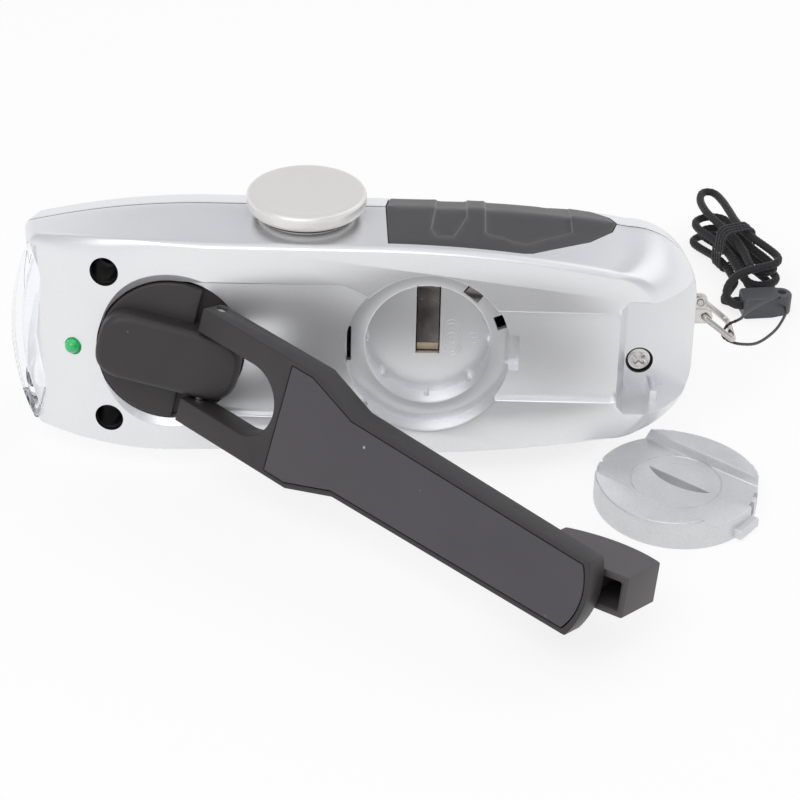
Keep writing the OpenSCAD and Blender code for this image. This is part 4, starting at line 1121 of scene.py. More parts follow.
@dataclass
class Lanyard:
    """Wrist cord in a hank, its tie, the connector and the thin string to the bail."""

    hank_at: Flat = (95.3, 70.2)
    hank_turn: float = 113.0
    rings: int = 30
    start: float = 0.16
    end: float = 4.0
    half: float = 16.0
    waist: float = 3.2
    bulge: float = 7.0
    step: float = 2.5
    layer: float = 2.6
    long_loop: float = 9.0
    long_lean: float = -4.0
    cord: Strand = Strand(diameter=2.0, sides=24, step=0.22, sink=0.13, ends=3, pick=1.1)
    tie: Strand = Strand(diameter=0.7, sides=12, step=0.2, sink=0.3, ends=2, pick=0.9, laid=True)
    string: Strand = Strand(diameter=0.7, sides=12, step=0.2, sink=0.3, ends=2, pick=1.1, laid=True)
    gap: float = 0.1
    tie_slack: float = 0.5
    tie_steps: int = 20
    tie_square: float = 0.4
    tie_room: float = 0.9
    tie_turns: int = 4
    tie_pitch: float = 1.1
    connector_at: Flat = (100.2, 49.4)
    connector_turn: float = 8.0
    connector_height: float = 5.2
    lead_in: tuple[Spot, ...] = ((96.6, 50.7, 2.6), (94.2, 50.4, 2.5), (92, 51.2, 1.6),
                                 (91, 53.4, 1.1))
    lead_out: tuple[Spot, ...] = ((94.6, 53.8, 8), (91.4, 51.4, 6.2), (90.8, 48.8, 4.2),
                                  (92.8, 47.5, 2.9), (96.6, 48, 2.6))
    string_route: tuple[Spot, ...] = (
        (103.4, 49, 3.6), (102.6, 46.6, 6.2), (100, 40.5, 9), (95, 29, 14), (89.8, 15, 20.2),
        (86.9, 5.6, 24.1), (85.3, 3.1, 24.8), (84, 2.6, 24.4), (83.4, 2.4, 23.7), (82.8, 2.3, 22.8),
        (82.9, 2.2, 21.5), (84.2, 2.4, 20.4), (87, 4.4, 18.4), (92.5, 13.5, 13.2), (98.6, 27, 8.2),
        (102.8, 39.5, 4.2), (104.4, 45.6, 2.6), (104.4, 49, 2.4))

    def base(self, turn: float) -> Vector:
        """Middle line of the first loop at an angle in degrees."""
        a = math.radians(turn)
        return Vector(
            (self.half * math.cos(a), math.sin(a) * (self.waist + self.bulge * math.cos(a) ** 2)))

    def laid(self, u: float) -> Spot:
        """Point of the hank after u loops, in its own axes."""
        turn, v = 180 - 360 * u, u - 0.25
        a = math.radians(turn)
        way = self.base(turn + 1) - self.base(turn - 1)
        out = Vector((way.y, -way.x)).normalized()
        t = math.fmod(v, 2)
        p = self.base(turn) - self.step * (t if t < 1 else 2 - t) * out
        tip = math.cos(a) ** 2 if u > 3 and math.cos(a) > 0 else 0.0
        level = sum(smoothstep(k, k + 0.5, v) for k in (0.75, 1.75, 2.75))
        return (p.x + self.long_loop * tip, p.y + self.long_lean * tip,
                self.cord.diameter / 2 + self.gap + self.layer * level
                + self.tie_room * math.sin(a) ** 4)

    def placed(self, q: Spot) -> Spot:
        """Point of the hank in standing axes."""
        c, s = math.cos(math.radians(self.hank_turn)), math.sin(math.radians(self.hank_turn))
        return (self.hank_at[0] + q[0] * c - q[1] * s, self.hank_at[1] + q[0] * s + q[1] * c, q[2])

    def cord_line(self) -> list[Spot]:
        """Route of the wrist cord, from the connector through the hank and back."""
        count = int((self.end - self.start) * self.rings + 1e-6)
        hank = [self.placed(self.laid(self.start + i / self.rings)) for i in range(count + 1)]
        start, end = spline([*self.lead_in, hank[0]], 3), spline([hank[-1], *self.lead_out], 4)
        return start + hank[1:-1] + end

    def tie_line(self) -> list[Spot]:
        """Route of the tie round the hank's waist."""
        middle = self.step / 4
        r = self.tie.diameter / 2
        wide = self.waist - self.step / 4 + self.cord.diameter / 2 + r + self.tie_slack
        low = r + self.gap
        high = self.cord.diameter + 3 * self.layer + self.tie_room + r + self.tie_slack
        found = []
        for i in range(self.tie_steps * self.tie_turns + 1):
            a = 2 * math.pi * i / self.tie_steps
            c, s = (math.copysign(abs(v) ** self.tie_square, v) for v in (math.cos(a), math.sin(a)))
            spot = (self.tie_pitch * (i / self.tie_steps - self.tie_turns / 2), middle + wide * c,
                    (low + high) / 2 + (high - low) / 2 * s)
            found.append(self.placed(spot))
        return found

    def connector(self) -> Object:
        """Moulded end piece that joins the cord to the string."""
        plan = arc(3.4, 0, 2.6, -90, 90, 18) + [(1, 3.2)] + arc(-5.1, 2.3, 0.9, 90, 180, 6)
        plan = resampled(plan + arc(-5.1, -2.3, 0.9, 180, 270, 6) + [(1, -3.2)], 1.2)
        body = raw("connector_shell", pillow(plan, 0, self.connector_height, 0.8, 0.4))
        carve(body, raw("eye", lathe([(0, 1.4), (0.8, 1.4), (0.8, 4.4), (1.0, 5.0), (1.25, 6.5),
                                      (0, 6.5)], 32, 3.6, 0)))
        turn = turned(self.connector_turn)
        body.data.transform(FLOOR @ Matrix.Translation((*self.connector_at, self.gap)) @ turn)
        return shade(body)

    def build(self) -> None:
        """Makes the cord, the tie, the connector and the string."""
        cord, cord_path = self.cord.tube("wrist_cord_braid", self.cord_line())
        wear(cord, CORD, "black_cord", "housing", "wrist_cord")
        tie, tie_path = self.tie.tube("tie_elastic", self.tie_line())
        wear(tie, TIE, "black_cord", "housing", "cord_tie")
        string, string_path = self.string.tube("string_laid", spline(self.string_route, 4))
        wear(string, STRING, "black_cord", "housing", "lanyard_string")
        wear(self.connector(), GREY, "grey_plastic", "housing", "lanyard_connector")
        for piece, path, width, lay in (
                (cord, cord_path, self.cord.diameter, "coiled"),
                (tie, tie_path, self.tie.diameter, "coiled"),
                (string, string_path, self.string.diameter, "loose")):
            log.info("%s is %.0f mm long", piece.name, length_of(path) / MM)


# Housing


@dataclass
class TorchForm:
    """Outer form of the two shells, level by level."""

    face: float = 18.0
    depth: float = 20.0
    tail: float = 76.0
    front: float = -64.0
    tail_slope: float = 10.0
    nose_radius: float = 36.0
    round_from: float = 8.0
    crown: float = 0.085
    crease_h: float = 1.6
    crease_w: float = 1.0
    side_x0: float = -25.0
    side_x1: float = 25.0
    face_side_x1: float = 8.0
    front_curve: float = 154.0
    tail_curve: float = 210.0
    face_tail_curve: float = 270.0
    flare: float = 0.9

    def up(self, z: float) -> float:
        """Share of the way from the seam to the crank face."""
        return max(0.0, z) / self.face

    def below(self, z: float) -> float:
        """Depth past the level where the switch side rounds in."""
        return max(0.0, -z - self.round_from)

    def crease(self, z: float) -> float:
        """How far the soft edge of the crank face draws in."""
        s = min(1.0, max(0.0, (z - self.face + self.crease_h) / self.crease_h))
        return self.crease_w * (1 - math.sqrt(max(0.0, 1 - s * s)))

    def tail_at(self, z: float) -> float:
        """Where the tail ends."""
        deep = self.below(z)
        drawn = self.tail_slope * self.up(z) ** 2 + 0.1 * deep + self.crown * deep ** 2
        return self.tail - drawn - self.crease(z)

    def front_at(self, z: float) -> float:
        """Where the front ends."""
        if z <= 0:
            return self.front + 0.1 * abs(z) + 0.16 * self.below(z) ** 2
        nose = self.front + 26 - math.sqrt(2 * self.nose_radius * max(0.0, self.face - z))
        return max(self.front + 0.2 * z, nose)

    def half_width(self, x: float, z: float) -> float:
        """Half the width at a place along the torch."""
        lean = math.tan(DRAFT)
        w = HALF_WIDTH - abs(z) * lean - self.crown * self.below(z) ** 2 - self.crease(z)
        if x < self.side_x0:
            past = self.side_x0 - x
            w += self.flare * max(0.0, z) * lean * past / 40 - past ** 2 / 2 / self.front_curve
        bend_x = self.side_x1 + (self.face_side_x1 - self.side_x1) * self.up(z)
        if x > bend_x:
            curve = self.tail_curve + (self.face_tail_curve - self.tail_curve) * self.up(z)
            w -= (x - bend_x) ** 2 / 2 / curve
        return w

    def outline(self, z: float, inset: float = 0.0, fine: bool = True) -> list[Flat]:
        """Outline at a level.

        Args:
            z: The level.
            inset: How far it is drawn in.
            fine: Whether it is smooth enough to be seen.

        Returns:
            Counter-clockwise points, the same count at every level.
        """
        corner, side, end = (14, 44, 8) if fine else (6, 14, 2)
        tail_r = max(0.5, 15 - 6 * self.up(z) - 0.4 * self.below(z) - inset)
        front_r = 2 + 9 * self.up(z) ** 3 if z > 0 else 2 + 0.6 * self.below(z)
        front_r = max(0.5, front_r - inset)
        spare = self.half_width(self.tail_at(z) - inset - tail_r, z) - inset - tail_r
        tail_r += min(0.0, spare - 0.5)
        xt = self.tail_at(z) - inset - tail_r
        xf = self.front_at(z) + inset + front_r
        yt = self.half_width(xt, z) - inset - tail_r
        yf = self.half_width(xf, z) - inset - front_r
        half = [(xt + tail_r, yt * k / end) for k in range(end)]
        half += arc(xt, yt, tail_r, 0, 90, corner)
        for i in range(1, side):
            x = xt + (xf - xt) * i / side
            half.append((x, self.half_width(x, z) - inset))
        half += arc(xf, yf, front_r, 90, 180, corner)
        half += [(xf - front_r, yf * (1 - k / end)) for k in range(1, end)]
        return half + [(xf - front_r, 0.0)] + mirrored(half[1:])

    def skin(self, levels: Sequence[tuple[float, float]], fine: bool = True) -> Block:
        """Closed body through levels.

        Args:
            levels: Height and inset of each level, from the lowest.
            fine: Whether it is smooth enough to be seen.

        Returns:
            The block.
        """
        block = Block()
        block.stack([block.ring(self.outline(z, inset, fine), z) for z, inset in levels])
        return block


def crank_levels() -> list[tuple[float, float]]:
    """Levels of the crank side, close together at the seam and at the soft edge of the face."""
    found = [(0.12, 0.3), (0.2, 0.12), (0.34, 0.03), (0.55, 0.0)]
    found += [(z, 0.0) for z in (2, 4, 6, 8, 9.2, 10, 10.8, 11.8, 12.8, 13.8, 14.7, 15.4, 16)]
    return found + [(16.4 + 1.6 * math.sin(math.radians(9 * i)), 0.0) for i in range(11)]


def switch_levels() -> list[tuple[float, float]]:
    """Levels of the switch side, from its flat end to the seam."""
    found = [(-20.0, 4.0), (-20.0, 0.9), (-19.97, 0.45), (-19.85, 0.15)]
    found += [(-z, 0.0) for z in (19.6, 19, 18.2, 17.4, 16.5, 15.5, 14.5, 13.4, 12.3, 11.2, 10.2,
                                  9.2, 8.2, 6, 4, 2)]
    return found + [(-0.55, 0.0), (-0.34, 0.03), (-0.2, 0.12), (-0.12, 0.3)]


@dataclass
class Housing:
    """Shells, grips, lens, contacts and screws of the torch."""

    nodes: dict[str, Object]
    form: TorchForm = field(default_factory=TorchForm)
    hub: Flat = (-32.5, -0.6)
    hub_hole: float = 15.15
    hub_floor: float = 10.0
    well_x: float = 20.0
    seat_r: float = 17.0
    ledge: float = 12.8
    well_r: float = 12.9
    well_floor: float = 7.2
    pocket_x: float = 58.9
    pocket_w: float = 12.3
    pocket_floor: float = 2.6
    pocket_lean: float = 2.8
    pocket_corner: float = 1.6
    slit: float = 1.6
    catch_half: float = 3.8
    recess_floor: float = 16.0
    led: Flat = (-52.8, -1.0)
    screws: tuple[Spot, ...] = ((-45.5, 16.1, 3.0), (-45.5, -16.1, 3.0), (64.8, -6.7, 0.2))
    wall: float = 2.0
    cup: float = 1.5
    catch_cup_r: float = 20.2
    led_cup_r: float = 2.7
    screw_cup_r: float = 3.85
    screw_head_r: float = 2.65
    screw_shank_r: float = 1.5
    led_r: float = 1.65
    over: float = 4.0
    recess: tuple[Flat, ...] = ((-32.5, -14.5), (3, -14.5), (12, -9.7), (58.95, -9.7))
    lens_half: float = 20.1
    lens_arc: float = 48.1
    lens_mid: float = -17.8
    lens_back: tuple[Flat, ...] = ((-61.53, -20.1), (-58.9, -12.75), (-60.8, 0.0), (-58.9, 12.75),
                                   (-61.53, 20.1))
    lens_side: tuple[Flat, ...] = ((20.1 - 2.2, -14), (20.1 - 1, -8), (20.4, 0), (18.9, 14))
    reflector_box: tuple[Spot, Spot] = ((-69, -17.8, -9), (-51, 17.8, 9))
    button: Flat = (39.0, 45.0)
    button_r: float = 4.85
    board_posts: tuple[Flat, ...] = ((-46, 9), (-46, -9), (22, 13), (22, -13))
    plate_posts: tuple[Flat, ...] = ((30, 13), (30, -13), (66, 0))
    marks_y: float = -0.6
    rib_reach: float = 12.8
    rib_turns: tuple[float, ...] = (-4, 143, 182, 224, 270, 314)
    panels: tuple[tuple[Flat, ...], ...] = (
        ((21.4, -11), (27.5, -11), (27.3, 3.5), (24.6, 11.4), (21.2, 12), (20.2, 8.8), (21, 0.6)),
        ((31.4, -11), (48.8, -11), (48.8, 5.6), (38.9, 12.2), (31.2, 9.4)))
    grip_edge: float = 0.6
    panel_sunk: float = 0.4
    panel_soft: float = 0.3
    grip_grid: float = 1.55
    grip_from: Flat = (10, -13)
    grip_count: tuple[int, int] = (33, 20)
    rim: float = 0.35
    # Faces within this height of the seam get the dark colour: painted shade in the seam.
    seam: float = 0.21
    grip_t: float = 1.6

    def grip_plan(self, grow: float) -> list[Flat]:
        """Outline of a grip along the torch and up its wall, counter-clockwise."""
        return [(11.5 - grow, -12.5 - grow), (39.5, -12.5 - grow), (52.5, -9.5 - grow),
                (57.3 + grow, -5), (58.5 + grow, 0), (57.3 + grow, 3.4), (52.5, 8.2 + grow),
                (40.5, 15.2 + grow), (38.5, 15.6 + grow), (11.5 - grow, 15.6 + grow),
                (10.7 - grow, 0)]

    def grip_tool(self) -> Object:
        """Shape that beds both grips in the walls."""
        tool = raw("grip_tool", prism(self.grip_plan(0.1), -45, 45))
        tool.data.transform(turned(90, "X"))
        levels = [(z, self.grip_t + 0.1) for z in (-18, -14, -11, -8, 0, 6, 10, 14, 16.2)]
        return carve(tool, raw("inner", self.form.skin(levels, False)))

    def lens_tool(self) -> Object:
        """Shape of the lens, grown by its clearance."""
        half, steps = self.lens_half, 40
        across = [half - 2 * half * i / steps for i in range(1, steps)]
        front = [(self.lens_mid - math.sqrt(self.lens_arc ** 2 - y * y), y) for y in across]
        tool = raw("lens_tool", prism([*self.lens_back, *front], -11.1, 11.7))
        outline = [*self.lens_side, *((-y, z) for y, z in reversed(self.lens_side))]
        return carve(tool, raw("lens_section", beam(outline, -80, -40)), Cut.KEEP)

    def box_tool(self, low: Spot, high: Spot) -> Object:
        """Plain box for a cut."""
        return raw("box", prism(rectangle(low[0], low[1], high[0], high[1]), low[2], high[2]))

    def crank_hollow(self) -> Object:
        """Hollow of the crank side, with the cups of its seats left standing."""
        tool = raw("hollow", self.form.skin([(z, self.wall) for z in (-1, 6, 10, 14)], False))
        t, top, wide = self.cup, self.form.face + 2, self.pocket_w + self.cup
        cups = [column(self.hub_hole + t, self.hub_floor - 2, top, 64, *self.hub),
                column(self.catch_cup_r, self.ledge - t, top, 64, self.well_x, 0),
                column(self.well_r + t, self.well_floor - t, top, 64, self.well_x, 0),
                prism(rectangle(self.pocket_x - t, -wide, 90, wide), self.pocket_floor - t, top),
                column(self.led_cup_r, 10, top, 24, *self.led)]
        cups += [column(self.screw_cup_r, z - t, top, 32, x, y) for x, y, z in self.screws]
        for i, cup in enumerate(cups):
            carve(tool, raw(f"cup_{i}", cup))
        return tool

    def shared_tools(self, lug_low: float) -> list[Object]:
        """Shapes that both shells give way to: lens, reflector, grips and a lug above a height."""
        return [self.lens_tool(), self.box_tool(*self.reflector_box), self.grip_tool(),
                self.box_tool((73, 1.5, lug_low), (81, 4.9, lug_low + 1.8))]

    def well_tools(self) -> list[Object]:
        """Shapes that cut the battery well, its contacts' slots and the cover's catches."""
        x, r, wr = self.well_x, self.seat_r, self.well_r
        face = self.form.face
        bowl = [(0, self.well_floor), (wr, self.well_floor), (wr, self.ledge - 0.3),
                (wr + 0.09, self.ledge - 0.09), (wr + 0.3, self.ledge), (r, self.ledge),
                (r, face - 0.4), (r + 0.05, face - 0.2), (r + 0.16, face - 0.07), (r + 0.4, face),
                (r + 0.4, face + self.over), (0, face + self.over)]
        half, ledge = self.catch_half, self.ledge
        boxes = [((x - 2.5, -4.2, 0), (x + 2.5, wr, ledge + 1)),
                 ((x + r - 1, -half, ledge), (x + 18.6, half, face + self.over)),
                 ((x + r - 1.2, -half, ledge - 1), (x + r - 0.3, half, ledge + 2)),
                 ((x - r + 0.3, -half, ledge - self.slit), (x - r + 1.2, half, ledge + 2))]
        tools = [raw("well", lathe(bowl, 128, x, 0)), *(self.box_tool(*box) for box in boxes)]
        for turn, low, high in (
                (52, (13.6, -1.9, self.well_floor + 1), (16.2, 1.9, 20)),
                (20, (14.6, -1.5, self.ledge - self.slit), (16.6, 1.5, self.ledge + 2))):
            tool = self.box_tool(low, high)
            tool.data.transform(Matrix.Translation((x, 0, 0)) @ turned(turn))
            tools.append(tool)
        return tools

    def crank_shell(self) -> Object:
        """Crank side with its recess, hub seat, battery well and knob pocket."""
        face, floor = self.form.face, self.recess_floor
        shell = raw("crank_shell", self.form.skin(crank_levels()))
        shell.data.materials.append(SILVER.material())
        carve(shell, self.crank_hollow(), bare=True)
        plan = rounded([*self.recess, *mirrored(self.recess)], 1.4)
        carve(shell, raw("recess", prism(plan, floor, face + self.over, self.rim, face)))
        x, y = self.hub
        hole, rim = self.hub_hole, self.hub_hole + 1.7
        seat = [(0, self.hub_floor), (hole, self.hub_floor), (hole, face - 1.1),
                (hole + 0.05, face - 0.99), (hole + 0.16, face - 0.91), (rim - 0.2, face - 0.12),
                (rim - 0.07, face - 0.05), (rim + 0.12, face), (rim + 0.12, face + self.over),
                (0, face + self.over)]
        carve(shell, raw("seat", lathe(seat, 128, x, y)))
        carve(shell, raw("bush", column(4.5, 0, 12, 48, x, y)))
        for tool in self.well_tools():
            carve(shell, tool)
        px, pw = self.pocket_x, self.pocket_w
        cut = self.pocket_corner
        plan = [(px + cut, -pw), (81, -pw), (81, pw), (px + cut, pw), (px, pw - cut),
                (px, -pw + cut)]
        pocket = raw("pocket", prism(plan, self.pocket_floor, face + self.over, self.rim, face))
        carve(pocket, self.box_tool((66.4, -pw - 1, self.pocket_floor - 1),
                                    (67.8, -pw + 2.6, self.pocket_floor + 9)))
        wall = [(px - 1, floor), (px - 1, self.pocket_floor - 1),
                (px + self.pocket_lean, self.pocket_floor - 1),
                (px + self.pocket_lean, self.pocket_floor), (px, floor)]
        slant = raw("slant", prism(wall, -pw - 1, pw + 1))
        slant.data.transform(turned(90, "X"))
        carve(pocket, slant)
        carve(shell, pocket)
        for sx, sy, sz in self.screws:
            r, s = self.screw_head_r, self.screw_shank_r
            top = [(r, 15.2), (r + 0.3, 15.6)] if sx < 0 else [(r, self.pocket_floor - 0.25),
                                                               (r + 0.25, self.pocket_floor)]
            profile = [(0, sz - 6), (s, sz - 6), (s, sz), (r, sz), *top, (top[-1][0], 24), (0, 24)]
            # Screw bores show dark plastic, which also paints the shade inside them.
            carve(shell, raw("screw_hole", lathe(profile, 48, sx, sy)), bare=True)
        r = self.led_r
        profile = [(0, 2), (r, 2), (r, 14.4), (r + 0.3, 15.1), (r + 0.45, 24), (0, 24)]
        carve(shell, raw("led_hole", lathe(profile, 40, *self.led)))
        for tool in self.shared_tools(0.1):
            carve(shell, tool)
        return self.painted(shell)

    def painted(self, shell: Object) -> Object:
        """Marks where a shell is bare plastic in its hollow and bores, paints shade on its faces
        beside the seam, and stands it up.

        Args:
            shell: A cut shell in torch axes.

        Returns:
            The shell.
        """
        bare = {i for i, m in enumerate(shell.data.materials) if m and m.name == BARE_AND_SHADE.name}
        # Bare plastic faces, plus painted shade on the faces beside the seam.
        marks = [float(p.material_index in bare or abs(p.center.z) < self.seam)
                 for p in shell.data.polygons]
        shell.data.attributes.new("worn", "FLOAT", "FACE").data.foreach_set("value", marks)
        shell.data.transform(STAND)
        return shade(shell)

    def switch_shell(self) -> Object:
        """Switch side with its button opening and posts."""
        shell = raw("switch_shell", self.form.skin(switch_levels()))
        shell.data.materials.append(SILVER.material())
        hollow = raw(
            "hollow", self.form.skin([(z, self.wall) for z in (-18, -16, -14, -11, -8, 1)], False))
        posts = [(x, y, 3.0, z - 1.6) for x, y, z in self.screws]
        posts += [(x, y, 2.5, -15.52) for x, y in self.board_posts]
        posts += [(x, y, 2.5, -8.02) for x, y in self.plate_posts]
        for x, y, r, top in posts:
            carve(hollow, raw("post", column(r, -self.form.depth, top, 32, x, y)))
        carve(shell, hollow, bare=True)
        for x, y, z in self.screws:
            carve(shell, raw("screw_way", column(1.32, z - 12, z + 5, 24, x, y)))
        r, (x0, x1) = self.button_r, self.button
        slot = arc(x1, 0, r, -90, 90, 16) + arc(x0, 0, r, 90, 270, 16)
        carve(shell, raw("button_way", prism(slot, -22, -16)))
        for tool in self.shared_tools(-7.9):
            carve(shell, tool)
        return self.painted(shell)

    def grip(self, side: Side) -> Object:
        """Rubber grip that follows the wall, with a rounded edge and two sunk panels.

        Args:
            side: The wall that carries it.

        Returns:
            The piece.
        """
        edge = resampled(rounded(self.grip_plan(0.0), 1.3, 6), 1.1)
        panels = [resampled(rounded(p, 1.1, 5), 1.0) for p in self.panels]
        loops = [offset(edge, -d) for d in (0.0, 0.06, 0.18, 0.36, 0.6)]
        loops += [offset(p, d) for p in panels for d in (0.3, 0.16, 0.02, -0.12, -0.3)]
        verts, lines = [], []
        for loop in loops:
            start = len(verts)
            verts += [Vector(p) for p in loop]
            lines += [(start + i, start + (i + 1) % len(loop)) for i in range(len(loop))]
        (x0, z0), (across, up) = self.grip_from, self.grip_count
        for i in range(across):
            for k in range(up):
                x, z = x0 + self.grip_grid * i, z0 + self.grip_grid * k
                clear = min(abs(signed_distance(p, x, z)) for p in panels)
                if signed_distance(edge, x, z) < -1.3 and clear > 0.9:
                    verts.append(Vector((x, z)))
        spots, _, faces, *_ = delaunay_2d_cdt(verts, lines, [], 1, 1e-5)
        block, worn, soft = Block(), [], self.panel_soft
        for p in spots:
            rim = -signed_distance(edge, p.x, p.y)
            near = min(signed_distance(q, p.x, p.y) for q in panels)
            drop_in = self.grip_edge - math.sqrt(
                max(0.0, self.grip_edge ** 2 - max(0.0, self.grip_edge - rim) ** 2))
            sunk = self.panel_sunk * smoothstep(soft, -soft, near) if near < soft else 0.0
            wall = self.form.half_width(p.x, p.y)
            block.verts.append((p.x, side.value * (wall - drop_in - sunk), p.y))
            # Lighter colour along the panels' rims and the grip's edge: painted highlight.
            worn.append(max(0.55 * smoothstep(0.2, 0.0, abs(near - 0.14)),
                            0.12 * smoothstep(0.4, 0.1, rim)))
        count = len(spots)
        for p in spots:
            block.verts.append((p.x, side.value * (self.form.half_width(p.x, p.y) - self.grip_t),
                                p.y))
        directed = {(f[i], f[(i + 1) % 3]) for f in faces for i in range(3)}
        for f in faces:
            block.faces += [tuple(f), tuple(i + count for i in reversed(f))]
        block.faces += [(b, a, a + count, b + count) for a, b in directed if (b, a) not in directed]
        obj = raw(f"{side.name.lower()}_grip_rubber", block, STAND)
        shade(obj, 50)
        mark = obj.data.attributes.new("worn", "FLOAT", "POINT")
        mark.data.foreach_set("value", worn + [0.0] * count)
        return obj

    def marks(self) -> Object:
        """Raised marks on the well's floor: a plus in a double oval and a minus in a ring."""
        low, high, line = self.well_floor - 0.1, self.well_floor + 0.16, 0.13
        block = Block()
        for x, wide, tall in ((5.0, 2.4, 4.0), (5.0, 1.75, 3.2), (5.0, 1.15, 1.15),
                              (9.4, 1.15, 1.15)):
            mid = (self.well_x + x, self.marks_y)
            loop = [(mid[0] + wide * px, mid[1] + tall * py) for px, py in circle(1.0, 48)]
            block.add(band([(offset(loop, line), low), (offset(loop, line * 0.6), high),
                            (offset(loop, -line * 0.6), high), (offset(loop, -line), low)]))
        arm = [(0.7, -line), (0.7, line), (line, line), (line, 0.7), (-line, 0.7), (-line, line),
               (-0.7, line), (-0.7, -line), (-line, -line), (-line, -0.7), (line, -0.7),
               (line, -line)]
        block.add(prism([(self.well_x + 5.0 + x, self.marks_y + y) for x, y in arm], low, high))
        block.add(prism(rectangle(self.well_x + 8.7, self.marks_y - line, self.well_x + 10.1,
                                  self.marks_y + line), low, high))
        return shade(raw("well_marks", block, STAND))

    def warmed(self, obj: Object) -> Object:
        """Marks the bent end of the cell's leaf, which is of a warmer metal."""
        back = STAND.inverted()
        marks = [smoothstep(-0.5, -0.8, (back @ p.center).y) for p in obj.data.polygons]
        obj.data.attributes.new("worn", "FLOAT", "FACE").data.foreach_set("value", marks)
        return obj

    def build(self) -> None:
        """Makes and dresses the housing's pieces."""
        wear(self.crank_shell(), SILVER, "silver_shell", "housing", "bottom_shell")
        wear(self.switch_shell(), SILVER, "silver_shell", "housing", "top_shell")
        wear(self.grip(Side.UPPER), RUBBER, "grip_rubber", "housing", "upper_grip")
        wear(self.grip(Side.LOWER), RUBBER, "grip_rubber", "housing", "lower_grip")
        for node, width, finish, slot in (
                ("front_lens", 0.25, CLEAR, "clear_lens"),
                ("reflector", 0.0, MIRROR, "mirror_coat"), ("main_leds", 0.0, LAMP, "led_resin"),
                ("charge_led", 0.0, GREEN, "green_led"), ("cell_tab", 0.08, CONTACT_PAINTED_DARK, "nickel"),
                ("lanyard_lugs", 0.12, NICKEL, "nickel")):
            wear(soft_copy(self.nodes, node, width), finish, slot, "housing", node)
        wear(self.warmed(soft_copy(self.nodes, "cell_leaf", 0.06)), CONTACT_PAINTED_DARK, "nickel", "housing",
             "cell_leaf")
        wear(self.marks(), SILVER, "silver_shell", "housing")
        wear(soft_copy(self.nodes, "lanyard_bail"), CHROME, "chrome_wire", "bail", "lanyard_bail")
        wear(soft_copy(self.nodes, "switch_button", 0.5), BLACK, "black_plastic", "button",
             "switch_button")


# What repeats

NewTree = tuple[Tree, Graph, Node, Node]


